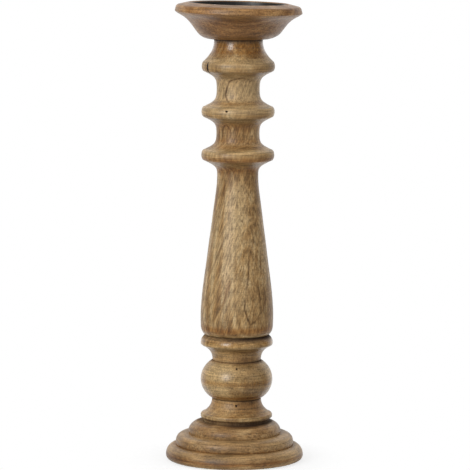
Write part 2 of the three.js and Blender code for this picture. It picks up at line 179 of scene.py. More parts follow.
def eased(before: Point, corner: Point, after: Point, setback: float, steps: int = EDGE_STEPS) -> Array:
    """Rounds one corner of an outline.

    Args:
        before: A point on the line that runs into the corner.
        corner: The sharp corner.
        after: A point on the line that leaves it.
        setback: How far from the corner the rounding starts and ends.
        steps: Number of intervals.

    Returns:
        Points of the rounding.
    """
    before, corner, after = np.array((before, corner, after), float)
    start = corner + (before - corner) * setback / np.linalg.norm(before - corner)
    end = corner + (after - corner) * setback / np.linalg.norm(after - corner)
    return cove(start, corner, end, ROUND, steps)


def joined(*runs: Point) -> Array:
    """Joins points and curves into one outline and drops repeated points.

    Args:
        runs: Points and curves in order.

    Returns:
        One array of points.
    """
    shortest = 0.001
    points = np.vstack(runs).astype(float)
    step = np.linalg.norm(np.diff(points, axis=0), axis=1)
    return points[np.concatenate(([True], step > shortest))]


def smooth(share: Array) -> Array:
    """Returns a soft step from 0 at share 0 to 1 at share 1."""
    share = np.clip(share, 0, 1)
    return share * share * (3 - 2 * share)


def distance_along(outline: Array) -> Array:
    """Returns the length from the first point to each point of an outline."""
    return np.concatenate(([0.0], np.cumsum(np.linalg.norm(np.diff(outline, axis=0), axis=1))))


def sampled(outline: Array, stops: Array) -> Array:
    """Returns the points of an outline at given distances from its start."""
    along = distance_along(outline)
    return np.stack([np.interp(stops, along, outline[:, 0]), np.interp(stops, along, outline[:, 1])], axis=1)


def densified(outline: Array, spacing: Array) -> Array:
    """Splits each segment of an outline evenly, so that none is longer than its spacing.

    Args:
        outline: Points of the outline.
        spacing: Longest step allowed on each segment.

    Returns:
        Points with the old ones among them.
    """
    along = distance_along(outline)
    length = np.diff(along)
    count = np.maximum(1, np.ceil(length / spacing)).astype(int)
    place = np.arange(count.sum()) - np.repeat(np.cumsum(count) - count, count)
    stops = np.repeat(along[:-1], count) + np.repeat(length / count, count) * place
    return sampled(outline, np.append(stops, along[-1]))


def relief(outline: Array, reach: float) -> Array:
    """Measures how far a smoothed copy of an outline lies outside it.

    The outline is sampled evenly along its length and smoothed by a Gaussian, and the step from the outline
    to the copy is measured along the outward normal. Hollows come out positive and crests negative.

    Args:
        outline: Points of the outline, running upwards on the outside.
        reach: Standard deviation of the Gaussian in millimetres.

    Returns:
        Millimetres for each point of the outline.
    """
    half = int(RELIEF_REACH * reach / RELIEF_STEP)
    along = distance_along(outline)
    even = np.arange(0, along[-1], RELIEF_STEP)
    curve = sampled(outline, even)
    weight = np.exp(-0.5 * (np.arange(-half, half + 1) * RELIEF_STEP / reach) ** 2)
    padded = np.pad(curve, ((half, half), (0, 0)), mode="reflect", reflect_type="odd")
    copy = [np.convolve(column, weight / weight.sum(), mode="valid") for column in padded.T]
    shift = np.stack(copy, axis=1) - curve
    tangent = np.gradient(curve, axis=0)
    tangent /= np.linalg.norm(tangent, axis=1, keepdims=True)
    return np.interp(along, even, shift[:, 0] * tangent[:, 1] - shift[:, 1] * tangent[:, 0])


# Surfaces of revolution

# Longest and shortest step along a shown outline, and how it is split beside a blemish
LONGEST_STEP = 3.5
SHORTEST_STEP = 0.15
STEPS_IN_BLEMISH = 3
BLEMISH_MARGIN = 3.0

# Meridians added at a blemish, and how many of its half widths they reach
BLEMISH_MERIDIANS = 13
BLEMISH_REACH = 2.4

# Share of the widest radius that spaces those meridians, and the digits that azimuths are rounded to
USUAL_RADIUS = 0.8
AZIMUTH_DIGITS = 5

# Waves of the turning: strength, lobes round the axis, millimetres of height for a radian, start in radians
LOBES = ((0.6, 2, 90.0, 0.0), (0.4, 3, -37.0, 1.3))

# Level ripple of the turning: strength, millimetres of height for a radian, and sway in radians
RIPPLE, RIPPLE_RISE, RIPPLE_SWAY = 0.5, 6.1, 0.8

# Radius from which a piece has its full wobble
FULL_WOBBLE_RADIUS = 30

# Fine and broad reach of the relief, and the millimetres of it that count as a full hollow or crest
FINE_REACH, BROAD_REACH = 1.5, 7.0
FINE_HOLLOW, FINE_CREST, BROAD_FULL = 0.3, 0.25, 2.0

# Shares of the fine and broad relief in the masks, and the share of a ridge past which it counts as level
BROAD_HOLLOW_SHARE = 0.6
FINE_CREST_SHARE, BROAD_CREST_SHARE = 0.5, 0.7
LEVEL_RIDGE, LEVEL_GAIN = 0.5, 2

# Depth of a full pit, and the degrees past which an edge is sharp
FULL_PIT = 0.5
SHARP_ANGLE = 38


class Runs(NamedTuple):
    """An outline in three runs: hidden, shown and hidden again."""

    before: Array
    shown: Array
    after: Array


@dataclass(frozen=True)
class Blemish:
    """A small hole or crack in a turned surface, placed by azimuth in degrees and height in the frame."""

    azimuth: float
    height: float
    half_width: float
    half_height: float
    depth: float


@dataclass(frozen=True)
class Band:
    """A height in the frame, how far an effect spreads from it, and how strong the effect is."""

    height: float
    spread: float
    strength: float = 1.0


@dataclass(frozen=True)
class Marks:
    """What makes one sample of a piece its own.

    The wobble is the unevenness of the turning. Seams are darkened joints, and where they lie in the gap
    under a lip they are partly painted shadow. The bands of light and tone are paler where positive and
    darker where negative, partly the wood's own zones and partly painted light and shade. Polish shines.
    A leaning piece falls by slant times x, from the first of its heights on and fully at the second. An
    offset piece is moved along +X by off_centre, from the first of its radii on and fully at the second.
    """

    wobble: float = 0.1
    # Dark joints, partly painted shadow where they lie in a gap
    seams: tuple[Band, ...] = ()
    # Bands of the wood's tone and of painted light and shade
    light_and_tone_bands: tuple[Band, ...] = ()
    polish: tuple[Band, ...] = ()
    blemishes: tuple[Blemish, ...] = ()
    slant: float = 0.0
    slant_heights: Pair = (0.0, 1.0)
    off_centre: float = 0.0
    off_centre_radii: Pair = (20.0, 36.0)


@dataclass
class TurnedSurface:
    """A surface of revolution about +Z with small departures from roundness.

    A point at outline position u and azimuth a is x = R sin a, y = -R cos a, z = height(u). The radius R is
    radius(u), plus a slow wobble in a and in height, less a steep-sided dip for each blemish. The lean and
    the offset of the marks are added last.
    """

    runs: Runs
    segments: int
    marks: Marks

    def __post_init__(self) -> None:
        """Refines the shown run and joins the hidden runs to it."""
        self.shown = densified(self.runs.shown, self._spacing())
        self.outline = joined(self.runs.before, self.shown, self.runs.after)
        first = int(np.argmin(np.linalg.norm(self.outline - self.shown[0], axis=1)))
        self.span = slice(first, first + len(self.shown))

    def _spacing(self) -> Array:
        """Works out how finely the shown run is split.

        Returns:
            The longest step on each of its segments, short beside a blemish.
        """
        middle = (self.runs.shown[1:, 1] + self.runs.shown[:-1, 1]) / 2
        spacing = np.full(len(middle), LONGEST_STEP)
        for mark in self.marks.blemishes:
            near = np.abs(middle - mark.height) < mark.half_height + BLEMISH_MARGIN
            spacing[near] = np.minimum(spacing[near], mark.half_height / STEPS_IN_BLEMISH + SHORTEST_STEP)
        return spacing

    def azimuths(self) -> Array:
        """Works out the azimuths of the meridians.

        Returns:
            Radians, even round the axis with more of them beside each blemish.
        """
        even = np.linspace(-math.pi, math.pi, self.segments, endpoint=False)
        marks = np.array([[mark.azimuth, mark.half_width] for mark in self.marks.blemishes]).reshape(-1, 2)
        reach = np.linspace(-BLEMISH_REACH, BLEMISH_REACH, BLEMISH_MERIDIANS)
        radius = self.shown[:, 0].max() * USUAL_RADIUS
        extra = np.radians(marks[:, :1]) + reach[None, :] * marks[:, 1:] / radius
        return np.unique(np.round(np.concatenate((even, extra.ravel())), AZIMUTH_DIGITS))

    def dips(self, azimuth: Array) -> Array:
        """Works out the depth of all blemishes on the grid, each the exponential of minus a fourth power.

        Args:
            azimuth: Azimuths of the meridians in radians.

        Returns:
            Depths in millimetres, one row for each outline point.
        """
        depth = np.zeros((len(self.outline), len(azimuth)))
        radius = self.outline[:, :1]
        for mark in self.marks.blemishes:
            across = (azimuth[None, :] - math.radians(mark.azimuth)) * radius / mark.half_width
            upward = (self.outline[:, 1:] - mark.height) / mark.half_height
            depth += mark.depth * np.exp(-((across**2 + upward**2) ** 2))
        return depth

    def grid(self, azimuth: Array, dip: Array) -> Array:
        """Works out the points of the surface.

        Args:
            azimuth: Azimuths of the meridians in radians.
            dip: Depth of the blemishes on the grid.

        Returns:
            Points in metres, indexed by outline point, meridian and coordinate.
        """
        marks = self.marks
        radius, height = self.outline[:, :1], self.outline[:, 1:]
        turn = azimuth[None, :]
        uneven = RIPPLE * np.sin(height / RIPPLE_RISE + RIPPLE_SWAY * np.cos(turn))
        for strength, lobes, rise, start in LOBES:
            uneven = uneven + strength * np.cos(lobes * turn + height / rise + start)
        wobble = marks.wobble * uneven * np.minimum(radius / FULL_WOBBLE_RADIUS, 1)
        full = np.where(radius > 0, radius + wobble - dip, 0)
        inner, outer = marks.off_centre_radii
        low, high = marks.slant_heights
        x = full * np.sin(turn) + marks.off_centre * smooth((radius - inner) / (outer - inner))
        z = height - marks.slant * smooth((height - low) / (high - low)) * x
        return np.stack([x, -full * np.cos(turn), z], axis=2) * MM

    def faces(self, meridians: int) -> tuple[Array, Array]:
        """Works out the quads of the grid and the triangles round its poles.

        Args:
            meridians: Number of meridians.

        Returns:
            Quads and triangles as rows of indices into the grid's points.
        """
        rows = len(self.outline)
        index = np.arange(rows * meridians).reshape(rows, meridians)
        on_axis = self.outline[:, 0] < TINY
        index[on_axis] = index[on_axis][:, :1]
        if np.allclose(self.outline[0], self.outline[-1]):
            index[-1] = index[0]
        after = np.roll(index, -1, axis=1)
        quads = np.stack([index[:-1], after[:-1], after[1:], index[1:]], axis=2)
        plain = ~(on_axis[:-1] | on_axis[1:])
        lower = quads[on_axis[:-1]].reshape(-1, 4)[:, [0, 2, 3]]
        upper = quads[on_axis[1:]].reshape(-1, 4)[:, [0, 1, 2]]
        return quads[plain].reshape(-1, 4), np.concatenate((lower, upper))

    def _bands(self, bands: tuple[Band, ...]) -> Array:
        """Adds up bands on the shown outline, each a Gaussian in height.

        Args:
            bands: The bands.

        Returns:
            One value for each shown point.
        """
        rows = np.array([[band.height, band.spread, band.strength] for band in bands]).reshape(-1, 3)
        away = (self.shown[:, 1:] - rows[:, 0]) / rows[:, 1]
        return (rows[:, 2] * np.exp(-(away**2))).sum(axis=1)

    def masks(self) -> dict[str, Array]:
        """Works out what the finish needs to know along the outline.

        Returns:
            By name, one value for each outline point: hollow where glaze gathers, crest where it is rubbed
            thin, level where the surface lies flat or turns over a ring, and seam, polish and the mix of
            wood tone with painted light and shade from the bands.
        """
        fine, broad = relief(self.shown, FINE_REACH), relief(self.shown, BROAD_REACH)
        run = np.gradient(self.shown, axis=0)
        flat = (run[:, 0] / np.maximum(np.linalg.norm(run, axis=1), TINY)) ** 2
        dale, ridge = np.clip(broad / BROAD_FULL, 0, 1), np.clip(-broad / BROAD_FULL, 0, 1)
        dent, edge = np.clip(fine / FINE_HOLLOW, 0, 1), np.clip(-fine / FINE_CREST, 0, 1)
        found = {
            "hollow": np.clip(dent + BROAD_HOLLOW_SHARE * dale, 0, 1),
            "crest": np.clip(FINE_CREST_SHARE * edge + BROAD_CREST_SHARE * ridge, 0, 1),
            "level": np.clip(flat + LEVEL_GAIN * np.clip(ridge - LEVEL_RIDGE, 0, 1), 0, 1),
            "seam": np.clip(self._bands(self.marks.seams), 0, 1),
            "polish": np.clip(self._bands(self.marks.polish), 0, 1),
            # The wood's paler and darker zones, together with painted light and shade
            "light_and_tone": self._bands(self.marks.light_and_tone_bands),
        }
        whole = {name: np.zeros(len(self.outline)) for name in found}
        for name, values in found.items():
            whole[name][self.span] = values
        return whole

    def mesh(self, name: str) -> bpy.types.Mesh:
        """Builds the mesh, with its masks stored as attributes.

        Args:
            name: Name of the mesh.

        Returns:
            The mesh, with poles and seam closed and sharp edges marked.
        """
        azimuth = self.azimuths()
        dip = self.dips(azimuth)
        quads, triangles = self.faces(len(azimuth))
        used, compact = np.unique(np.concatenate((quads.ravel(), triangles.ravel())), return_inverse=True)
        four, three = compact[: quads.size].reshape(-1, 4), compact[quads.size :].reshape(-1, 3)
        points = self.grid(azimuth, dip).reshape(-1, 3)[used]
        made = bpy.data.meshes.new(name)
        made.from_pydata(points.tolist(), [], four.tolist() + three.tolist())
        masks = {mask: values[used // len(azimuth)] for mask, values in self.masks().items()}
        masks["pit"] = np.clip(dip.ravel()[used] / FULL_PIT, 0, 1)
        for mask, values in masks.items():
            layer = made.attributes.new(mask, "FLOAT", "POINT")
            layer.data.foreach_set("value", values.astype(np.float32))
        made.shade_smooth()
        made.set_sharp_from_angle(angle=math.radians(SHARP_ANGLE))
        return made


# Node graphs

# Range that a noise covers well, the factors that lay a vector flat, and the middle of a noise's colours
SPREAD = (0.3, 0.7)
FLAT = (1.0, 1.0, 0.0)
HALF = (0.5, 0.5, 0.5)


def linear(code: str) -> tuple[float, float, float, float]:
    """Turns an sRGB colour code such as #9a7850 into linear light, by the standard's own curve.

    Args:
        code: Hexadecimal colour code.

    Returns:
        Red, green, blue and alpha.
    """
    knee, slope, offset, power = 0.04045, 12.92, 0.055, 2.4
    channel = np.frombuffer(bytes.fromhex(code.lstrip("#")), np.uint8) / 255
    light = np.where(channel <= knee, channel / slope, ((channel + offset) / (1 + offset)) ** power)
    return (*light.tolist(), 1.0)


class Graph:
    """Builds one shader node tree from short calls."""

    def __init__(self, tree: Tree) -> None:
        """Starts with an empty tree."""
        self.tree = tree
        tree.nodes.clear()

    def node(self, kind: str, inputs: Inputs | None = None, **settings: object) -> bpy.types.Node:
        """Adds a node, sets its own properties and feeds its inputs.

        Args:
            kind: Type name of the node.
            inputs: Sockets to link or constants to set, by the name or number of the input.
            settings: Properties and their values.

        Returns:
            The node.
        """
        made = self.tree.nodes.new(kind)
        for name, value in settings.items():
            setattr(made, name, value)
        for name, value in (inputs or {}).items():
            if isinstance(value, Socket):
                self.tree.links.new(value, made.inputs[name])
            else:
                made.inputs[name].default_value = value
        return made

    def use(self, group: Tree, **inputs: Value) -> Outputs:
        """Adds a shared group and returns its outputs, with underscores for spaces in the input names."""
        named = {name.replace("_", " "): value for name, value in inputs.items()}
        return self.node("ShaderNodeGroup", named, node_tree=group).outputs

    def math(self, operation: str, a: Value, b: Value = 0.0, clamp: bool = False) -> Socket:
        """Returns the result of a Math node."""
        return self.node("ShaderNodeMath", {0: a, 1: b}, operation=operation, use_clamp=clamp).outputs[0]

    def total(self, *terms: Value) -> Socket:
        """Returns the sum of all terms."""
        return reduce(lambda a, b: self.math("ADD", a, b), terms)

    def product(self, *factors: Value) -> Socket:
        """Returns the product of all factors."""
        return reduce(lambda a, b: self.math("MULTIPLY", a, b), factors)

    def swing(self, value: Value, *factors: Value) -> Socket:
        """Returns how far a value lies above one half, times all factors."""
        return self.product(self.math("SUBTRACT", value, 0.5), *factors)

    def scaled(self, vector: Value, factor: Value) -> Socket:
        """Returns a vector or colour times a number."""
        return self.node("ShaderNodeVectorMath", {0: vector, "Scale": factor}, operation="SCALE").outputs[0]

    def vector(self, operation: str, a: Value, b: Value = (0.0, 0.0, 0.0)) -> Socket:
        """Returns the vector, or the length, from a Vector Math node."""
        made = self.node("ShaderNodeVectorMath", {0: a, 1: b}, operation=operation)
        return made.outputs["Value" if operation == "LENGTH" else "Vector"]

    def parts(self, vector: Value) -> Outputs:
        """Returns the X, Y and Z of a vector."""
        return self.node("ShaderNodeSeparateXYZ", {0: vector}).outputs

    def step(self, value: Value, low: float, high: float, start: Value = 0.0, end: Value = 1.0) -> Socket:
        """Maps a value smoothly from one range to another.

        Args:
            value: Value to map.
            low: Value that gives start.
            high: Value that gives end.
            start: Result at and beyond low.
            end: Result at and beyond high.

        Returns:
            The mapped value.
        """
        ends = {"Value": value, "From Min": low, "From Max": high, "To Min": start, "To Max": end}
        return self.node("ShaderNodeMapRange", ends, interpolation_type="SMOOTHSTEP").outputs["Result"]

    def fade(self, mask: Value, start: Value, end: Value) -> Socket:
        """Returns a value that goes smoothly from start to end as a mask goes from 0 to 1."""
        return self.step(mask, 0.0, 1.0, start, end)

    def noise(
        self,
        where: Value,
        stretch: Triple,
        detail: float = 2.0,
        roughness: float = 0.55,
        output: str = "Fac",
    ) -> Socket:
        """Adds a solid noise that is stretched along the axes.

        Args:
            where: Coordinates in metres.
            stretch: Features per metre along each axis.
            detail: Number of finer layers.
            roughness: Strength of the finer layers.
            output: Fac for a number or Color for a colour.

        Returns:
            The noise.
        """
        place = self.vector("MULTIPLY", where, stretch)
        inputs = {"Vector": place, "Scale": 1.0, "Detail": detail, "Roughness": roughness}
        return self.node("ShaderNodeTexNoise", inputs, noise_dimensions="3D").outputs[output]

    def strata(
        self, depth: Value, density: float, shift: float, detail: float, roughness: float = 0.6
    ) -> Socket:
        """Adds a noise that varies with one value only, such as the depth below the bark.

        Args:
            depth: The value.
            density: Features for each unit of it.
            shift: Place in the noise at value 0.
            detail: Number of finer layers.
            roughness: Strength of the finer layers.

        Returns:
            The noise.
        """
        place = self.total(self.product(depth, density), shift)
        inputs = {"W": place, "Scale": 1.0, "Detail": detail, "Roughness": roughness}
        return self.node("ShaderNodeTexNoise", inputs, noise_dimensions="1D").outputs[0]

    def blend(self, amount: Value, a: Value, b: Value, mode: str = "MIX") -> Socket:
        """Returns colour b laid over colour a, through a Mix node's colour inputs 6 and 7 and output 2."""
        inputs = {0: amount, 6: a, 7: b}
        return self.node("ShaderNodeMix", inputs, data_type="RGBA", blend_type=mode).outputs[2]

    def coat(self, below: Value, code: str, *masks: Value) -> Socket:
        """Returns a colour code laid over a colour, as strong as all masks together."""
        return self.blend(self.product(*masks), below, linear(code))

    def ramp(self, value: Value, stops: tuple[tuple[float, str], ...]) -> Socket:
        """Maps a value to a colour through given stops.

        Args:
            value: Value from 0 to 1.
            stops: Places and colour codes in order.

        Returns:
            The colour.
        """
        made = self.node("ShaderNodeValToRGB", {0: value})
        points = made.color_ramp.elements
        for place, _ in stops[2:]:
            points.new(place)
        for point, (place, code) in zip(points, stops):
            point.position = place
            point.color = linear(code)
        return made.outputs[0]

    def bump(self, height: Value, strength: float, depth: float) -> Socket:
        """Returns the normal of a surface with that relief, whose depth is in metres."""
        inputs = {"Height": height, "Strength": strength, "Distance": depth}
        return self.node("ShaderNodeBump", inputs).outputs[0]

    def attribute(self, name: str) -> Socket:
        """Returns a mask stored on the mesh."""
        return self.node("ShaderNodeAttribute", attribute_name=name).outputs["Fac"]

    def place(self) -> Socket:
        """Returns object coordinates in metres."""
        return self.node("ShaderNodeTexCoord").outputs["Object"]


@dataclass(frozen=True)
class Layer:
    """A noise in a group: its output's name, features per metre, finer layers and the range it is cut to."""

    name: str
    stretch: Triple
    detail: float = 2.0
    roughness: float = 0.6
    cut: Pair = SPREAD


class SharedGroups:
    """Node groups that several materials use, each made once."""

    def __init__(self) -> None:
        """Makes the groups."""
        self.figure = self._figure()
        self.oval = self._oval()
        self.ageing = self._ageing()
        # Short dark pores along local Z, the broken flecks between them and long fibre streaks
        self.pores = self._layers(
            "Pores",
            Layer("Pore", (820.0, 820.0, 130.0), 0.6, 0.5, (0.54, 0.7)),
            Layer("Fleck", (620.0, 620.0, 95.0)),
            Layer("Fibre", (240.0, 240.0, 12.0), 3.0, 0.62),
        )
        # Level streaks round the turning axis, left by the tool and the polishing cloth, and a fine grain
        self.lathe = self._layers(
            "Lathe streaks",
            Layer("Streak", (34.0, 34.0, 640.0), 3.0, 0.65),
            Layer("Grain", (640.0, 640.0, 640.0)),
        )
        # Fine surface grain, sparse specks and slow unevenness for metal and felt
        self.grit = self._layers(
            "Grit",
            Layer("Grain", (2600.0, 2600.0, 2600.0)),
            Layer("Speck", (900.0, 900.0, 900.0), 0.5, 0.5, (0.68, 0.76)),
            Layer("Patch", (45.0, 45.0, 45.0), 3.0),
        )

    @staticmethod
    def _open(name: str, numbers: tuple[str, ...], results: tuple[str, ...]) -> tuple[Graph, Outputs]:
        """Makes an empty group whose first input is a vector.

        Args:
            name: Name of the group.
            numbers: Names of the number inputs.
            results: Names of the number outputs.

        Returns:
            The group's graph and the outputs of its input node.
        """
        tree = bpy.data.node_groups.new(name, "ShaderNodeTree")
        tree.interface.new_socket(name="Vector", in_out="INPUT", socket_type=Kind.VECTOR.value)
        for side, labels in (("INPUT", numbers), ("OUTPUT", results)):
            for label in labels:
                tree.interface.new_socket(name=label, in_out=side, socket_type=Kind.NUMBER.value)
        graph = Graph(tree)
        return graph, graph.node("NodeGroupInput").outputs

    @staticmethod
    def _close(graph: Graph, **results: Socket) -> Tree:
        """Feeds the results to the group's outputs and returns the group."""
        graph.node("NodeGroupOutput", results)
        return graph.tree

    def _layers(self, name: str, *layers: Layer) -> Tree:
        """Makes a group of plain noises.

        Args:
            name: Name of the group.
            layers: The noises.

        Returns:
            The group, with an output for each noise.
        """
        graph, given = self._open(name, (), tuple(layer.name for layer in layers))
        results = {}
        for layer in layers:
            found = graph.noise(given["Vector"], layer.stretch, layer.detail, layer.roughness)
            results[layer.name] = graph.step(found, *layer.cut)
        return self._close(graph, **results)

    def _figure(self) -> Tree:
        """Makes growth layers round a pith along local Z: a slow tone and thin dark lines.

        The place is bent by a slow and a quick noise, and the layers follow its distance from local Z.

        Returns:
            The group.
        """
        shiver_share, line_density, line_shift, line_width = 0.12, 0.55, 7.3, 0.045
        graph, given = self._open("Growth figure", ("Density", "Warp", "Shift"), ("Tone", "Line"))
        where = given["Vector"]
        slow = graph.noise(where, (11.0, 11.0, 4.0), detail=1.5, output="Color")
        quick = graph.noise(where, (85.0, 85.0, 16.0), detail=1.0, output="Color")
        shiver = graph.scaled(graph.vector("SUBTRACT", quick, HALF), shiver_share)
        sway = graph.vector("ADD", graph.vector("SUBTRACT", slow, HALF), shiver)
        bent = graph.vector("ADD", where, graph.scaled(sway, given["Warp"]))
        depth = graph.vector("LENGTH", graph.vector("MULTIPLY", bent, FLAT))
        layer = graph.total(graph.product(depth, given["Density"]), given["Shift"])
        tone = graph.strata(layer, density=1.0, shift=0.0, detail=2.2)
        late = graph.strata(layer, line_density, line_shift, detail=0.6)
        line = graph.step(graph.math("ABSOLUTE", graph.swing(late)), 0.0, line_width, 1.0, 0.0)
        return self._close(graph, Tone=graph.step(tone, *SPREAD), Line=line)

    def _oval(self) -> Tree:
        """Makes an oval mark, used for growth layers that the lathe has cut to ovals and for patches of
        painted light and shade.

        The oval lies at an azimuth and a height, leans to one side as it rises, and is measured along the
        surface. Its reach sums powers a little over squares across and up, so its ends are blunter than an
        ellipse's. The distance from the rim is the reach less one, over the reach's own slope, so the rim is
        equally wide all round.

        Returns:
            The group.
        """
        bluntness, unevenness, uneven_cut = 2.1, 0.1, (0.25, 0.75)
        rim_reach, inside_reach = (0.0002, 0.0016), (0.35, 1.0)
        break_cut, break_left = (0.38, 0.58), 0.65
        numbers = ("Azimuth", "Height", "Half width", "Half height", "Lean", "Fade", "Side", "Kept")
        graph, given = self._open("Oval", numbers, ("Inside", "Rim"))
        where = given["Vector"]
        x, y, z = graph.parts(where)
        away = graph.vector("LENGTH", graph.vector("MULTIPLY", where, FLAT))
        upward = graph.math("SUBTRACT", z, given["Height"])
        azimuth = graph.math("ARCTAN2", x, graph.product(y, -1.0))
        middle = graph.total(given["Azimuth"], graph.product(upward, given["Lean"]))
        across = graph.product(graph.math("SUBTRACT", azimuth, middle), away)
        halves = (given["Half width"], given["Half height"])
        wide, tall = (graph.math("DIVIDE", side, half) for side, half in zip((across, upward), halves))
        shares = [graph.math("ABSOLUTE", side) for side in (wide, tall)]
        powers = graph.total(*(graph.math("POWER", share, bluntness) for share in shares))
        even = graph.math("POWER", powers, 1.0 / bluntness)
        stir = graph.noise(where, (60.0, 60.0, 40.0))
        reach = graph.total(even, graph.step(stir, *uneven_cut, -unevenness, unevenness))
        steeps = [graph.math("POWER", graph.math("DIVIDE", side, even), bluntness - 1.0) for side in shares]
        slopes = [graph.math("DIVIDE", steep, half) for steep, half in zip(steeps, halves)]
        slope = graph.math("SQRT", graph.total(*(graph.product(part, part) for part in slopes)))
        beside = graph.math("DIVIDE", graph.math("ABSOLUTE", graph.math("SUBTRACT", reach, 1.0)), slope)
        lost = graph.total(graph.product(tall, given["Fade"]), graph.product(wide, given["Side"]))
        kept = graph.math("SUBTRACT", given["Kept"], lost, clamp=True)
        chips = graph.noise(where, (150.0, 150.0, 70.0), detail=1.0)
        broken = graph.step(chips, *break_cut, break_left, 1.0)
        rim = graph.product(graph.step(beside, *rim_reach, 1.0, 0.0), kept, broken)
        return self._close(graph, Inside=graph.step(reach, *inside_reach, 1.0, 0.0), Rim=rim)

    def _ageing(self) -> Tree:
        """Breaks up the hollow and crest masks, so that glaze and rubbed wax look applied by hand.

        Returns:
            The group.
        """
        smear_share, patch_share = 0.55, 0.45
        glaze_cut, glaze_levels, worn_cut = (0.3, 0.62), (0.62, 1.08), (0.34, 0.66)
        graph, given = self._open("Glaze and wear", ("Hollow", "Crest"), ("Glaze", "Worn", "Patch"))
        patch = graph.noise(given["Vector"], (24.0, 24.0, 24.0), 3.0, 0.6)
        smear = graph.noise(given["Vector"], (130.0, 130.0, 130.0), 3.0, 0.65)
        broken = graph.total(graph.product(smear, smear_share), graph.product(patch, patch_share))
        uneven = graph.step(broken, *glaze_cut, *glaze_levels)
        glaze = graph.math("MULTIPLY", given["Hollow"], uneven, clamp=True)
        worn = graph.math("MULTIPLY", given["Crest"], graph.step(broken, *worn_cut), clamp=True)
        return self._close(graph, Glaze=glaze, Worn=worn, Patch=graph.step(patch, *SPREAD))


# Finishes


@dataclass(frozen=True)
class Oval:
    """An oval mark with a dark rim and a paler or darker inside. Growth layers use the rim, and some ovals
    without a rim are painted light and shade, as noted where they are listed.

    Angles are degrees, lengths millimetres, and the lean is degrees of azimuth for a millimetre of height.
    The rim fades upwards with a positive fade and downwards with a negative one, and towards +X with a
    positive side. The inside is paler where positive and darker where negative.
    """

    azimuth: float
    height: float
    half_width: float
    half_height: float
    lean: float = 0.0
    rim: float = 0.0
    fade: float = 0.0
    side: float = 0.0
    inside: float = 0.0


@dataclass(frozen=True)
class Log:
    """How a piece was cut from the log.

    The pith is a point in millimetres, and rise and fibre are the directions of the growth layers and of the
    pores. Density is growth layers per metre, warp is how far they bend in metres, and shift picks others.
    """

    pith: Triple
    rise: Triple
    fibre: Triple
    density: float = 150.0
    warp: float = 0.012
    shift: float = 0.0
    ovals: tuple[Oval, ...] = ()


@dataclass(frozen=True)
class Finish(ABC):
    """A finish that can make its material."""

    name: str

    @abstractmethod
    def looks(self, graph: Graph, groups: SharedGroups) -> Inputs:
        """Works out what the shader reads.

        Args:
            graph: Graph of the material.
            groups: Shared node groups.

        Returns:
            Inputs of the Principled shader by name.
        """

    def material(self, groups: SharedGroups) -> bpy.types.Material:
        """Makes the material, a Principled shader with the finish's looks.

        Args:
            groups: Shared node groups.

        Returns:
            The material.
        """
        made = bpy.data.materials.new(self.name)
        made.use_nodes = True
        graph = Graph(made.node_tree)
        shader = graph.node("ShaderNodeBsdfPrincipled", self.looks(graph, groups))
        graph.node("ShaderNodeOutputMaterial", {"Surface": shader.outputs[0]})
        return made

    @staticmethod
    def _aged(graph: Graph, groups: SharedGroups) -> Outputs:
        """Returns the outputs of the ageing group on the piece's own masks."""
        hollow, crest = graph.attribute("hollow"), graph.attribute("crest")
        return graph.use(groups.ageing, Vector=graph.place(), Hollow=hollow, Crest=crest)


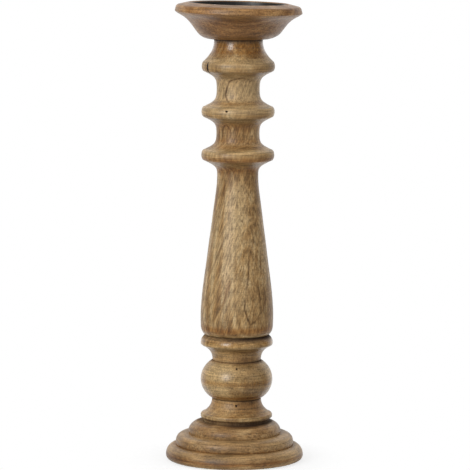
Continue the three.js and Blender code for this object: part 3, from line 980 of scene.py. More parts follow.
@dataclass(frozen=True)
class WoodFinish(Finish):
    """Turned hardwood with a satin wax and dark glaze in the hollows.

    Figure, fleck, streak, grain and pores are the strengths of the wood's own marks. On level stretches the
    marks along the fibre keep level_left of their strength, and on upright ones the lathe's streaks keep
    upright_left. Seams darken, partly as painted shadow in gaps, and they are lighter on the left across a
    reach in metres, painted light where the lamp reaches into them. Bands above zero lean to pale, partly
    the wood's paler zones and partly painted light, and bands below zero darken with the tint, partly as
    painted shade.
    """

    log: Log
    dark: str = "#7a5830"
    middle: str = "#9d7c4e"
    pale: str = "#bda277"
    line: str = "#5d4020"
    pore: str = "#533716"
    tint: str = "#dcbf95"
    crevice_colour: str = "#2a1505"
    stops: Triple = (0.15, 0.5, 0.85)
    figure: float = 0.3
    lines: float = 0.7
    fleck: float = 0.6
    streak: float = 0.65
    grain: float = 0.4
    pores: float = 0.42
    # How far positive bands lean to pale and how much glaze they leave, partly painted light
    bleach_and_light: float = 0.6
    glaze_in_light_and_bleach: float = 0.15
    least_level: float = 0.0
    level_left: float = 0.4
    upright_left: float = 0.3
    # Seam darkening, partly painted shadow in gaps, and its lighter left side, painted light
    seam_darkening: float = 0.96
    seam_matt: float = 0.45
    seam_lit_left: float = 0.0
    seam_lit_reach: Pair = (-0.035, 0.015)
    rough: Pair = (0.52, 0.42)
    gloss: float = 0.45
    fleck_relief: float = 0.4
    relief: float = 0.15
    relief_depth: float = 0.0002

    def _along(self, graph: Graph, direction: Triple) -> Socket:
        """Makes coordinates with their origin at the pith and their Z along a direction.

        Args:
            graph: Graph of the material.
            direction: Direction of local Z.

        Returns:
            The coordinates in metres.
        """
        turn = Vector((0, 0, 1)).rotation_difference(Vector(direction)).to_euler()
        pith = tuple(MM * x for x in self.log.pith)
        inputs = {"Vector": graph.place(), "Location": pith, "Rotation": tuple(turn)}
        return graph.node("ShaderNodeMapping", inputs, vector_type="TEXTURE").outputs[0]

    def _ovals(self, graph: Graph, groups: SharedGroups, colour: Value) -> Socket:
        """Lays the log's ovals over the wood's colour.

        Args:
            graph: Graph of the material.
            groups: Shared node groups.
            colour: Colour below.

        Returns:
            The colour with the ovals.
        """
        for oval in self.log.ovals:
            found = graph.use(
                groups.oval,
                Vector=graph.place(),
                Azimuth=math.radians(oval.azimuth),
                Height=MM * oval.height,
                Half_width=MM * oval.half_width,
                Half_height=MM * oval.half_height,
                Lean=math.radians(oval.lean) / MM,
                Fade=oval.fade,
                Side=oval.side,
                Kept=1.0 - (abs(oval.fade) + abs(oval.side)) / 2,
            )
            # The inside takes the pale colour when positive and the line colour when negative; on some ovals
            # these are painted light and painted shade
            inner = self.pale if oval.inside > 0 else self.line
            colour = graph.coat(colour, inner, found["Inside"], abs(oval.inside))
            colour = graph.coat(colour, self.line, found["Rim"], oval.rim)
        return colour

    def _bare(self, graph: Graph, groups: SharedGroups, patch: Value, pores: Outputs) -> Socket:
        """Colours the wood before glaze and soil.

        Args:
            graph: Graph of the material.
            groups: Shared node groups.
            patch: Slow unevenness.
            pores: Outputs of the pores group.

        Returns:
            The colour.
        """
        cut = self.log
        where = self._along(graph, cut.rise)
        figure = graph.use(groups.figure, Vector=where, Density=cut.density, Warp=cut.warp, Shift=cut.shift)
        lathe = graph.use(groups.lathe, Vector=graph.place())
        level = graph.math("MAXIMUM", graph.attribute("level"), self.least_level)
        upright = graph.fade(level, 1.0, self.level_left)
        fibre = graph.total(graph.product(pores["Fibre"], upright), graph.fade(level, 0.0, self.level_left))
        plain = graph.product(graph.total(fibre, patch), 0.5 * (1 - self.figure))
        tone = graph.total(graph.product(figure["Tone"], self.figure), plain)
        colour = graph.ramp(tone, tuple(zip(self.stops, (self.dark, self.middle, self.pale))))
        colour = graph.coat(colour, self.line, figure["Line"], self.lines * self.figure)
        # Positive bands lean to pale: partly the wood's paler zones, partly painted light
        colour = graph.coat(colour, self.pale, graph.fade(graph.attribute("light_and_tone"), 0.0, self.bleach_and_light))
        # Ovals: growth layers, and on some pieces patches of painted light and shade
        colour = self._ovals(graph, groups, colour)
        light = graph.total(
            1.0,
            graph.swing(pores["Fleck"], self.fleck, upright),
            graph.swing(lathe["Streak"], self.streak, graph.fade(level, self.upright_left, 1.0)),
            graph.swing(lathe["Grain"], self.grain),
        )
        return graph.coat(graph.scaled(colour, light), self.pore, pores["Pore"], self.pores, upright)

    def looks(self, graph: Graph, groups: SharedGroups) -> Inputs:
        """Works out the wood: growth figure, pores, glaze and soil over one another.

        Args:
            graph: Graph of the material.
            groups: Shared node groups.

        Returns:
            Inputs of the Principled shader by name.
        """
        pores = graph.use(groups.pores, Vector=self._along(graph, self.log.fibre))
        age = self._aged(graph, groups)
        light_and_tone, seam = graph.attribute("light_and_tone"), graph.attribute("seam")
        colour = self._bare(graph, groups, age["Patch"], pores)
        # Positive bands thin the glaze; glaze and negative bands darken by the tint, the bands partly as
        # painted shade
        glaze_left = graph.product(age["Glaze"], graph.fade(light_and_tone, 1.0, self.glaze_in_light_and_bleach))
        glaze_and_painted_shade = graph.math("MAXIMUM", glaze_left, graph.step(light_and_tone, -1.0, 0.0, 1.0, 0.0))
        colour = graph.blend(glaze_and_painted_shade, colour, linear(self.tint), "MULTIPLY")
        # Seams darken, partly as painted shadow in gaps, and less on the left, painted light where the lamp
        # reaches in
        kept = graph.step(graph.parts(graph.place())["X"], *self.seam_lit_reach, 1.0 - self.seam_lit_left, 1.0)
        colour = graph.coat(colour, self.crevice_colour, seam, self.seam_darkening, kept)
        colour = graph.coat(colour, self.crevice_colour, graph.attribute("pit"))
        gloss = graph.fade(graph.attribute("polish"), 1.0, self.gloss)
        waxed = graph.product(graph.fade(pores["Fleck"], *self.rough), gloss)
        open_grain = graph.math("SUBTRACT", graph.product(pores["Fleck"], self.fleck_relief), pores["Pore"])
        return {
            "Base Color": colour,
            "Roughness": graph.total(waxed, graph.product(seam, self.seam_matt)),
            "Normal": graph.bump(open_grain, self.relief, self.relief_depth),
        }


@dataclass(frozen=True)
class EnamelFinish(Finish):
    """Satin black enamel on pressed sheet, with a little dust and rubbed edges."""

    colour: str = "#1d1c1b"
    dust: str = "#6b665f"
    bare: str = "#77726b"
    dusty: float = 0.06
    specks: float = 0.25
    worn: float = 0.35
    rough: Pair = (0.34, 0.48)
    relief: float = 0.25
    relief_depth: float = 0.00008

    def looks(self, graph: Graph, groups: SharedGroups) -> Inputs:
        """Works out the enamel.

        Args:
            graph: Graph of the material.
            groups: Shared node groups.

        Returns:
            Inputs of the Principled shader by name.
        """
        grit = graph.use(groups.grit, Vector=graph.place())
        colour = graph.coat(linear(self.colour), self.dust, grit["Patch"], self.dusty)
        colour = graph.coat(colour, self.dust, grit["Speck"], self.specks)
        return {
            "Base Color": graph.coat(colour, self.bare, self._aged(graph, groups)["Worn"], self.worn),
            "Roughness": graph.fade(grit["Patch"], *self.rough),
            "Normal": graph.bump(grit["Grain"], self.relief, self.relief_depth),
        }


@dataclass(frozen=True)
class ZincFinish(Finish):
    """Bright zinc plating with dulled patches and darker recesses."""

    bright: str = "#b9b7b0"
    dull: str = "#8d8b84"
    crevice_colour: str = "#3b3732"
    recess_darkening: float = 0.7
    rough: Pair = (0.26, 0.44)
    relief: float = 0.2
    relief_depth: float = 0.00005

    def looks(self, graph: Graph, groups: SharedGroups) -> Inputs:
        """Works out the plating.

        Args:
            graph: Graph of the material.
            groups: Shared node groups.

        Returns:
            Inputs of the Principled shader by name.
        """
        grit = graph.use(groups.grit, Vector=graph.place())
        colour = graph.coat(linear(self.bright), self.dull, grit["Patch"])
        return {
            "Base Color": graph.coat(colour, self.crevice_colour, graph.attribute("hollow"), self.recess_darkening),
            "Roughness": graph.fade(grit["Patch"], *self.rough),
            "Normal": graph.bump(grit["Grain"], self.relief, self.relief_depth),
            "Metallic": 1.0,
        }


@dataclass(frozen=True)
class FeltFinish(Finish):
    """Pressed felt: matted fibres with lint."""

    colour: str = "#3d342c"
    lint: str = "#7d7164"
    matted: float = 0.35
    specks: float = 0.4
    rough: Pair = (0.9, 1.0)
    sheen: float = 0.4
    relief: float = 0.8
    relief_depth: float = 0.0003

    def looks(self, graph: Graph, groups: SharedGroups) -> Inputs:
        """Works out the felt.

        Args:
            graph: Graph of the material.
            groups: Shared node groups.

        Returns:
            Inputs of the Principled shader by name.
        """
        grit = graph.use(groups.grit, Vector=graph.place())
        colour = graph.coat(linear(self.colour), self.lint, grit["Grain"], self.matted)
        return {
            "Base Color": graph.coat(colour, self.lint, grit["Speck"], self.specks),
            "Roughness": graph.fade(grit["Patch"], *self.rough),
            "Normal": graph.bump(grit["Grain"], self.relief, self.relief_depth),
            "Sheen Weight": self.sheen,
        }


# Pieces


@dataclass(kw_only=True)
class TurnedPiece(ABC):
    """A piece turned about the holder's axis that stands for one CAD node."""

    node: str
    body: Body = Body.STAND
    slot: Slot = Slot.WOOD
    segments: int = 224
    marks: Marks = Marks()

    @abstractmethod
    def runs(self) -> Runs:
        """Works out the outline from the piece's own height 0.

        Returns:
            Its three runs.
        """

    def base(self) -> float:
        """Returns the frame height in millimetres of the piece's own height 0."""
        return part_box(self.node)[0].z / MM

    def surface(self, runs: Runs) -> TurnedSurface:
        """Returns the surface of an outline that stands in the frame."""
        return TurnedSurface(runs, self.segments, self.marks)

    def build(self) -> bpy.types.Object:
        """Builds the piece, hides its CAD node and lets it ride on its body.

        Returns:
            The piece's object.
        """
        placed = Runs(*(run + (0.0, self.base()) for run in self.runs()))
        self.piece = bpy.data.objects.new(f"{self.node}_turned", self.surface(placed).mesh(self.node))
        bpy.context.scene.collection.objects.link(self.piece)
        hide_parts(self.node)
        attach(self.piece, self.body.value)
        return self.piece

    def dress(self, material: bpy.types.Material) -> None:
        """Gives the piece its material."""
        self.piece.data.materials.append(material)


@dataclass(frozen=True)
class FootStep:
    """A rounded step of the foot: radius, height, height of its widest point and fill of its curve."""

    radius: float
    height: float
    bulge: float
    fill: float
    turn: float = 75.0

    def outline(self, lower: Point, upper: Point) -> Array:
        """Makes the step's outline.

        Args:
            lower: Crease or edge below the step.
            upper: Crease above it.

        Returns:
            Points from the lower to the upper crease.
        """
        widest = (self.radius, lower[1] + self.bulge)
        shoulder = cove(widest, (self.radius, upper[1]), upper, self.fill)
        return joined(swell(widest, lower, self.turn)[::-1], shoulder)


@dataclass(kw_only=True)
class Foot(TurnedPiece):
    """Foot in three rounded steps, with a counterbore below and a socket above."""

    node: str = "foot"
    segments: int = 256
    steps: tuple[FootStep, ...] = (
        FootStep(75.5, 15.5, 4.2, 0.6),
        FootStep(64.8, 12.4, 2.3, 0.74),
        FootStep(50.8, 13.7, 2.8, 0.5),
    )
    insets: Triple = (2.4, 0.5, 0.5)
    land_radius: float = 37.0
    counterbore_radius: float = 13.0
    counterbore_depth: float = 12.0
    socket_radius: float = 16.3
    socket_depth: float = 18.4
    screw_hole: float = 3.3
    chamfer: float = 1.0

    def runs(self) -> Runs:
        """Works out the outline from the counterbore round the steps to the socket.

        Returns:
            Its three runs.
        """
        *bottoms, top = np.cumsum([0.0, *(step.height for step in self.steps)])
        radii = (step.radius - inset for step, inset in zip(self.steps, self.insets))
        creases = [*zip(radii, bottoms), (self.land_radius, top)]
        floor = top - self.socket_depth
        before = joined(
            (self.screw_hole, self.counterbore_depth),
            (self.counterbore_radius, self.counterbore_depth),
            (self.counterbore_radius, self.chamfer),
        )
        shown = joined(
            (self.counterbore_radius + self.chamfer, 0),
            *(step.outline(*ends) for step, *ends in zip(self.steps, creases, creases[1:])),
            (self.socket_radius + self.chamfer, top),
        )
        after = joined(
            (self.socket_radius, top - self.chamfer),
            (self.socket_radius, floor),
            (self.screw_hole, floor),
            (self.screw_hole, self.counterbore_depth),
        )
        return Runs(before, shown, after)


@dataclass(kw_only=True)
class BallSection(TurnedPiece):
    """Collar, flared lip, ball and bead, with a spigot below and a dowel bore above."""

    node: str = "ball_section"
    spigot_radius: float = 16.0
    spigot_length: float = 18.0
    pilot_radius: float = 3.3
    pilot_depth: float = 48.7
    collar_radius: float = 36.4
    collar_height: float = 4.0
    lip_radius: float = 39.3
    lip_height: float = 4.2
    lip_round: float = 1.3
    flare_height: float = 17.0
    flare_slope: float = 32.0
    flare_neck: float = 27.0
    ball_radius: float = 39.4
    ball_height: float = 42.8
    ball_crease: float = 0.6
    ball_turn: float = 61.0
    bead_neck: float = 26.6
    bead_cove_height: float = 16.1
    bead_slope: float = 24.0
    bead_radius: float = 39.7
    bead_nose_depth: float = 1.7
    bead_nose_height: float = 2.6
    bead_nose_turn: float = 70.0
    bead_crown_height: float = 9.0
    bead_crown_turn: float = 60.0
    groove_radius: float = 34.2
    bore_radius: float = 10.3
    bore_depth: float = 30.5
    chamfer: float = 1.0

    def base(self) -> float:
        """Returns the height of the seat on the foot, above the spigot."""
        return super().base() + self.spigot_length

    def runs(self) -> Runs:
        """Works out the outline from the spigot over the lip, the ball and the bead to the bore.

        Returns:
            Its three runs.
        """
        lip_top = self.collar_height + self.lip_height
        ball_bottom = lip_top + self.flare_height
        ball_top = ball_bottom + self.ball_height
        bead_bottom = ball_top + self.bead_cove_height
        bead_height = bead_bottom + self.bead_nose_height
        top = bead_height + self.bead_crown_height
        collar_top = (self.collar_radius, self.collar_height)
        lip_corner, lip_edge = (self.lip_radius, self.collar_height), (self.lip_radius, lip_top)
        shoulder = (self.lip_radius - self.lip_round, lip_top)
        flare_rise = (shoulder[0] - self.flare_neck) * math.tan(math.radians(self.flare_slope))
        flare_corner = (self.flare_neck, lip_top + flare_rise)
        ball_crest = (self.ball_radius, (ball_bottom + ball_top) / 2)
        ball_low = (self.flare_neck - self.ball_crease, ball_bottom)
        ball_high = (self.bead_neck - self.ball_crease, ball_top)
        bead_edge = (self.bead_radius - self.bead_nose_depth, bead_bottom)
        bead_drop = (bead_edge[0] - self.bead_neck) * math.tan(math.radians(self.bead_slope))
        bead_crest = (self.bead_radius, bead_height)
        spigot_end, pilot_end = -self.spigot_length, self.pilot_depth - self.spigot_length
        before = joined(
            (0, pilot_end),
            (self.pilot_radius, pilot_end),
            (self.pilot_radius, spigot_end),
            (self.spigot_radius - self.chamfer, spigot_end),
            (self.spigot_radius, spigot_end + self.chamfer),
            (self.spigot_radius, 0),
        )
        shown = joined(
            (self.collar_radius, 0),
            collar_top,
            eased(collar_top, lip_corner, lip_edge, self.lip_round),
            eased(lip_corner, lip_edge, flare_corner, self.lip_round),
            cove(shoulder, flare_corner, (self.flare_neck, ball_bottom), EASY)[1:],
            swell(ball_crest, ball_low, self.ball_turn, LONG_STEPS)[::-1],
            swell(ball_crest, ball_high, self.ball_turn, LONG_STEPS),
            cove((self.bead_neck, ball_top), (self.bead_neck, bead_bottom - bead_drop), bead_edge, EASY),
            swell(bead_crest, bead_edge, self.bead_nose_turn)[::-1],
            swell(bead_crest, (self.groove_radius, top), self.bead_crown_turn),
        )
        bore_end = top - self.bore_depth
        after = joined((self.bore_radius, top), (self.bore_radius, bore_end), (0, bore_end))
        return Runs(before, shown, after)


@dataclass(kw_only=True)
class Column(TurnedPiece):
    """Tapered column with three rings, with a dowel bore below and a tenon above."""

    node: str = "column"
    bore_radius: float = 10.3
    bore_depth: float = 30.5
    groove_radius: float = 34.2
    corner_height: float = 10.4
    corner_turn: float = 80.0
    belly_radius: float = 39.8
    belly_set_back: float = 0.15
    belly_height: float = 6.8
    belly_curve: float = 36.0
    taper_length: float = 106.0
    throat_curve: float = 17.0
    throat_radius: float = 22.4
    throat_to_ring: float = 21.45
    ring_radius: float = 39.8
    ring_nose_depth: float = 1.85
    ring_half_width: float = 5.3
    ring_turn: float = 70.0
    ring_flank: float = 25.0
    ring_pitches: Pair = (47.2, 49.7)
    neck_radius: float = 23.45
    top_flank: float = 42.0
    top_neck_radius: float = 26.5
    top_neck_length: float = 29.45
    tenon_radius: float = 14.0
    tenon_length: float = 15.0
    pilot_radius: float = 2.5
    pilot_depth: float = 32.8
    chamfer: float = 1.0

    def ring(self, below: Point, height: float, above: Point, flank: float, fill: float) -> Array:
        """Makes one ring with the coves on both sides of it.

        Args:
            below: Point on the neck below.
            height: Height of the crest.
            above: Point on the neck above.
            flank: Slope of the upper flank in degrees.
            fill: How closely the upper cove fills its corner.

        Returns:
            Points from the neck below to the neck above.
        """
        nose = self.ring_radius - self.ring_nose_depth
        crest = (self.ring_radius, height)
        lower, upper = ((nose, height + side * self.ring_half_width) for side in (-1, 1))
        drop = (nose - below[0]) * math.tan(math.radians(self.ring_flank))
        rise = (nose - above[0]) * math.tan(math.radians(flank))
        return joined(
            cove(below, (below[0], lower[1] - drop), lower, TIGHT, LONG_STEPS),
            swell(crest, lower, self.ring_turn)[::-1],
            swell(crest, upper, self.ring_turn),
            cove(upper, (above[0], upper[1] + rise), above, fill, LONG_STEPS),
        )

    def runs(self) -> Runs:
        """Works out the outline from the bore over the belly, the taper and the rings to the tenon.

        Returns:
            Its three runs.
        """
        belly_top = self.corner_height + self.belly_height
        taper_bottom = belly_top + self.belly_curve
        taper_top = taper_bottom + self.taper_length
        throat_top = taper_top + self.throat_curve
        crests = throat_top + self.throat_to_ring + np.cumsum((0, *self.ring_pitches))
        top = crests[2] + self.top_neck_length
        tenon_top = top + self.tenon_length
        belly = np.array((self.belly_radius, taper_bottom - self.belly_curve / 2))
        throat = np.array((self.throat_radius, taper_top + self.throat_curve / 2))
        slope = (belly - throat) / (throat[1] - belly[1])
        corner = (self.belly_radius - self.belly_set_back, self.corner_height)
        necks = [
            (self.throat_radius, throat_top),
            (self.neck_radius, crests[0] + self.ring_pitches[0] / 2),
            (self.neck_radius, crests[1] + self.ring_pitches[1] / 2),
            (self.top_neck_radius, top - self.chamfer),
        ]
        flanks = (self.ring_flank, self.ring_flank, self.top_flank)
        shown = joined(
            swell(corner, (self.groove_radius, 0), self.corner_turn, COVE_STEPS)[::-1],
            cove((self.belly_radius, belly_top), belly, belly - slope * self.belly_curve / 2, EASY),
            cove(throat + slope * self.throat_curve / 2, throat, necks[0], EASY),
            *(self.ring(*ring) for ring in zip(necks, crests, necks[1:], flanks, (TIGHT, TIGHT, EASY))),
            (self.top_neck_radius, top),
        )
        before = joined((0, self.bore_depth), (self.bore_radius, self.bore_depth), (self.bore_radius, 0))
        after = joined(
            (self.tenon_radius, top),
            (self.tenon_radius, tenon_top - self.chamfer),
            (self.tenon_radius - self.chamfer, tenon_top),
            (self.pilot_radius, tenon_top),
            (self.pilot_radius, tenon_top - self.pilot_depth),
            (0, tenon_top - self.pilot_depth),
        )
        return Runs(before, shown, after)


@dataclass(kw_only=True)
class Dish(TurnedPiece):
    """Dish with a heel, an ogee underside, a tapered band and a recess for the pan."""

    node: str = "dish"
    segments: int = 256
    radius: float = 69.6
    land_radius: float = 29.0
    heel_radius: float = 40.2
    heel_height: float = 8.2
    heel_slope: float = 53.0
    ogee_height: float = 18.1
    ogee_pulls: Pair = (10.5, 11.3)
    ogee_slope: float = 25.0
    bevel_depth: float = 3.9
    bevel_height: float = 2.7
    band_height: float = 6.8
    band_taper: float = 1.9
    rim_round: float = 2.2
    rim_rise: float = 3.1
    inner_round: float = 1.2
    edge_round: float = 0.8
    recess_radius: float = 53.6
    recess_depth: float = 8.0
    socket_radius: float = 14.3
    socket_depth: float = 15.4
    screw_hole: float = 2.5
    countersink_radius: float = 5.1
    countersink_edge: float = 0.7
    countersink_depth: float = 3.1

    def runs(self) -> Runs:
        """Works out the outline from the socket round the underside and the rim to the countersink.

        Returns:
            Its three runs.
        """
        ogee_height = self.heel_height + self.ogee_height
        band_bottom = ogee_height + self.bevel_height
        band_top = band_bottom + self.band_height
        top = band_top + self.rim_rise
        floor = top - self.recess_depth
        heel, tip = math.radians(self.heel_slope), math.radians(self.ogee_slope)
        heel_top = np.array((self.heel_radius + self.heel_height / math.tan(heel), self.heel_height))
        ogee_top = np.array((self.radius - self.bevel_depth, ogee_height))
        leaving = heel_top + np.array((math.cos(heel), math.sin(heel))) * self.ogee_pulls[0]
        arriving = ogee_top - np.array((math.cos(tip), math.sin(tip))) * self.ogee_pulls[1]
        band_edge = (self.radius, band_bottom)
        rim_corner = (self.radius - self.band_taper, band_top)
        inner_edge = (self.recess_radius + self.inner_round, top)
        inner_wall = (self.recess_radius, top - self.inner_round)
        shown = joined(
            cove((self.land_radius, 0), (self.heel_radius, 0), heel_top, EASY),
            bezier(heel_top, leaving, arriving, ogee_top, LONG_STEPS)[:-1],
            eased(arriving, ogee_top, band_edge, self.edge_round),
            eased(ogee_top, band_edge, rim_corner, self.edge_round),
            eased(band_edge, rim_corner, inner_edge, self.rim_round, 2 * EDGE_STEPS),
            cove(inner_edge, (self.recess_radius, top), inner_wall, ROUND, CORNER_STEPS),
            (self.recess_radius, floor),
            (self.countersink_radius, floor),
        )
        after = joined(
            (self.countersink_radius, floor - self.countersink_edge),
            (self.screw_hole, floor - self.countersink_depth),
            (self.screw_hole, self.socket_depth),
            (self.socket_radius, self.socket_depth),
            (self.socket_radius, 0),
        )
        return Runs(joined((self.socket_radius, 0)), shown, after)


@dataclass(kw_only=True)
class Pan(TurnedPiece):
    """Loose pressed pan with rounded corners and a rounded upper edge."""

    node: str = "pan"
    body: Body = Body.PAN
    slot: Slot = Slot.ENAMEL
    radius: float = 53.1
    height: float = 7.0
    wall: float = 1.2
    corner: float = 3.2
    middle: float = 4.0

    def runs(self) -> Runs:
        """Works out the outline from the middle of the underside over the edge to the middle of the floor.

        Returns:
            Its three runs.
        """
        outside, inside = self.radius, self.radius - self.wall
        edge = self.height - self.wall / 2
        crown = (self.radius - self.wall / 2, self.height)
        foot = (outside - self.corner, 0)
        floor = (inside - self.corner + self.wall, self.wall)
        shown = joined(
            cove(foot, (outside, 0), (outside, self.corner), ROUND, CORNER_STEPS),
            cove((outside, edge), (outside, self.height), crown, ROUND, EDGE_STEPS),
            cove(crown, (inside, self.height), (inside, edge), ROUND, EDGE_STEPS),
            cove((inside, self.corner), (inside, self.wall), floor, ROUND, CORNER_STEPS),
            (self.middle, self.wall),
        )
        return Runs(joined((0, 0)), shown, joined((0, self.wall)))


@dataclass(kw_only=True)
class Dowel(TurnedPiece):
    """Plain dowel with chamfered ends."""

    node: str = "column_dowel"
    slot: Slot = Slot.DOWEL
    segments: int = 64
    marks: Marks = Marks(wobble=0.05)
    radius: float = 10.0
    length: float = 60.0
    chamfer: float = 1.0

    def runs(self) -> Runs:
        """Works out the outline from one end to the other.

        Returns:
            Its three runs.
        """
        shown = joined(
            (self.radius - self.chamfer, 0),
            (self.radius, self.chamfer),
            (self.radius, self.length - self.chamfer),
            (self.radius - self.chamfer, self.length),
        )
        return Runs(joined((0, 0)), shown, joined((0, self.length)))


@dataclass(kw_only=True)
class Washer(TurnedPiece):
    """Flat washer with eased edges."""

    node: str = "foot_washer"
    slot: Slot = Slot.ZINC
    segments: int = 64
    marks: Marks = Marks(wobble=0.0)
    radius: float = 10.0
    hole: float = 3.3
    thickness: float = 1.6
    edge_round: float = 0.25

    def runs(self) -> Runs:
        """Works out the outline round the section and back to its start.

        Returns:
            Its three runs.
        """
        inner_low, inner_high = (self.hole, 0), (self.hole, self.thickness)
        outer_low, outer_high = (self.radius, 0), (self.radius, self.thickness)
        shown = joined(
            eased(inner_low, outer_low, outer_high, self.edge_round),
            eased(outer_low, outer_high, inner_high, self.edge_round),
        )
        return Runs(joined(inner_low), shown, joined(inner_high, inner_low))


@dataclass(kw_only=True)
class FeltPad(TurnedPiece):
    """Felt disc with soft, fuzzy edges, built about its own middle under the foot."""

    slot: Slot = Slot.FELT
    segments: int = 64
    marks: Marks = Marks(wobble=0.0)
    radius: float = 9.0
    middle: float = 4.5
    thickness: float = 1.4
    edge_round: float = 0.4
    fuzz: float = 0.1
    fuzz_lobes: tuple[int, int] = (17, 29)
    fuzz_start: float = 1.0

    def runs(self) -> Runs:
        """Works out the outline from the middle of the underside to the middle of the top.

        Returns:
            Its three runs.
        """
        low, high = (self.radius, 0), (self.radius, self.thickness)
        shown = joined(
            (self.middle, 0),
            eased((0, 0), low, high, self.edge_round),
            eased(low, high, (0, self.thickness), self.edge_round),
        )
        return Runs(joined((0, 0)), shown, joined((0, self.thickness)))

    def build(self) -> bpy.types.Object:
        """Builds the disc and shifts its points to the middle of its CAD node.

        The fuzz draws each point in by the size of two sines of its azimuth.

        Returns:
            The disc's object.
        """
        piece = super().build()
        low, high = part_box(self.node)
        points = np.empty(len(piece.data.vertices) * 3, np.float32)
        piece.data.vertices.foreach_get("co", points)
        points = points.reshape(-1, 3)
        turn = np.arctan2(points[:, 1], points[:, 0])
        slow, quick = self.fuzz_lobes
        fuzz = self.fuzz * (np.sin(slow * turn) + np.sin(quick * turn + self.fuzz_start))
        points[:, :2] *= (1 - np.abs(fuzz) / self.radius)[:, None]
        points[:, :2] += ((low + high) / 2)[:2]
        piece.data.vertices.foreach_set("co", points.ravel())
        return piece


@dataclass
class ScrewSurface(TurnedSurface):
    """A turned screw with a cross recess in its head and a thread on its core.

    The recess lowers every head point by the depth of two crossed slots with soft edges. The thread adds a
    rounded ridge to the core's radius that climbs one pitch for each turn.
    """

    head_height: float
    sense: int
    thread: Pair
    slot_span: float = 5.0
    slot_width: float = 1.3
    slot_depth: float = 1.8
    slot_edge: float = 0.3
    head_reach: float = 1.2
    pitch: float = 2.4
    ridge: float = 0.25
    run_out: float = 2.0
    least_radius: float = 0.5

    def _slot(self, along: Array, across: Array) -> Array:
        """Works out which points lie within a slot, as the product of two clipped slopes.

        Args:
            along: Places along the slot.
            across: Places across it.

        Returns:
            1 within the slot, 0 outside it, and a short slope between.
        """
        pairs = ((along, self.slot_span), (across, self.slot_width))
        sides = [np.clip((size / 2 - np.abs(place)) / self.slot_edge + 0.5, 0, 1) for place, size in pairs]
        return sides[0] * sides[1]

    def grid(self, azimuth: Array, dip: Array) -> Array:
        """Adds the recess and the thread to the turned points.

        Args:
            azimuth: Azimuths of the meridians in radians.
            dip: Depth of the blemishes on the grid.

        Returns:
            Points in metres, indexed by outline point, meridian and coordinate.
        """
        x, y, z = np.moveaxis(super().grid(azimuth, dip) / MM, 2, 0)
        radius = self.outline[:, :1]
        head = np.abs(z - self.head_height) < self.head_reach
        sunk = np.where(head, np.maximum(self._slot(x, y), self._slot(y, x)) * self.slot_depth, 0)
        low, high = self.thread
        threaded = np.clip(np.minimum(z - low, high - z) / self.run_out, 0, 1) * (radius > self.least_radius)
        wave = 0.5 + 0.5 * np.cos(2 * np.pi * z / self.pitch - self.sense * azimuth[None, :])
        growth = 1 + self.ridge * wave**2 * threaded / np.maximum(radius, self.least_radius)
        return np.stack([x * growth, y * growth, z + self.sense * sunk], axis=2) * MM


@dataclass(kw_only=True)
class WoodScrew(TurnedPiece):
    """Wood screw with a cross recess and a thread."""

    slot: Slot = Slot.ZINC
    segments: int = 96
    marks: Marks = Marks(wobble=0.0)
    aim: Aim = Aim.UP
    core: float = 3.0
    length: float = 64.0
    plain_share: float = 0.4
    point_length: float = 6.0
    head_radius: float = 6.0
    head_rim: float = 2.0
    head_height: float = 4.0
    head_dome: float = 0.6
    head_middle: float = 0.2
    head_border: float = 1.2
    edge_drop: float = 0.2
    edge_round: float = 0.5
    head_rows: int = 26
    shank_rows: int = 110

    def runs(self) -> Runs:
        """Works out the outline from the head's middle to the point, turned over if the screw points down.

        The head's top falls with the square of the radius.

        Returns:
            Its three runs.
        """
        radii = np.linspace(self.head_middle, self.head_radius - self.head_border, self.head_rows)
        top = np.stack([radii, self.head_dome * (radii / self.head_radius) ** 2], axis=1)
        edge = (self.head_radius, self.head_dome + self.edge_drop)
        rim = (self.head_radius, self.head_rim)
        heights = np.linspace(self.head_height, self.length - self.point_length, self.shank_rows)
        shank = np.stack([np.full(self.shank_rows, self.core), heights], axis=1)
        shown = joined(top, eased(top[-1], edge, rim, self.edge_round), rim, shank)
        upwards = Runs(joined((0, 0)), shown, joined((0, self.length)))
        if self.aim is Aim.UP:
            return upwards
        return Runs(*(run[::-1] * (1, -1) + (0, self.length) for run in reversed(upwards)))

    def surface(self, runs: Runs) -> TurnedSurface:
        """Makes the screw's surface with its recess and thread.

        Args:
            runs: Outline that stands in the frame.

        Returns:
            The surface.
        """
        low, high = (corner.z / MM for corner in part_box(self.node))
        plain = self.length * self.plain_share
        head, thread = (low, (low + plain, high)) if self.aim is Aim.UP else (high, (low, high - plain))
        return ScrewSurface(runs, self.segments, self.marks, head, self.aim.value, thread)


# Studio


@dataclass(frozen=True)
class Lamp:
    """A rectangular soft lamp: place, aim and size in metres, power in watts, and whether gloss shows it."""

    name: str
    place: Triple
    aim: Triple
    size: Pair
    power: float
    mirrored: bool = False

    def build(self) -> None:
        """Adds the lamp to the scene."""
        data = bpy.data.lights.new(self.name, "AREA")
        data.shape = "RECTANGLE"
        data.size, data.size_y = self.size
        data.energy = self.power
        lamp = bpy.data.objects.new(self.name, data)
        lamp.location = self.place
        lamp.rotation_euler = (Vector(self.aim) - Vector(self.place)).to_track_quat("-Z", "Y").to_euler()
        lamp.visible_glossy = self.mirrored
        bpy.context.scene.collection.objects.link(lamp)


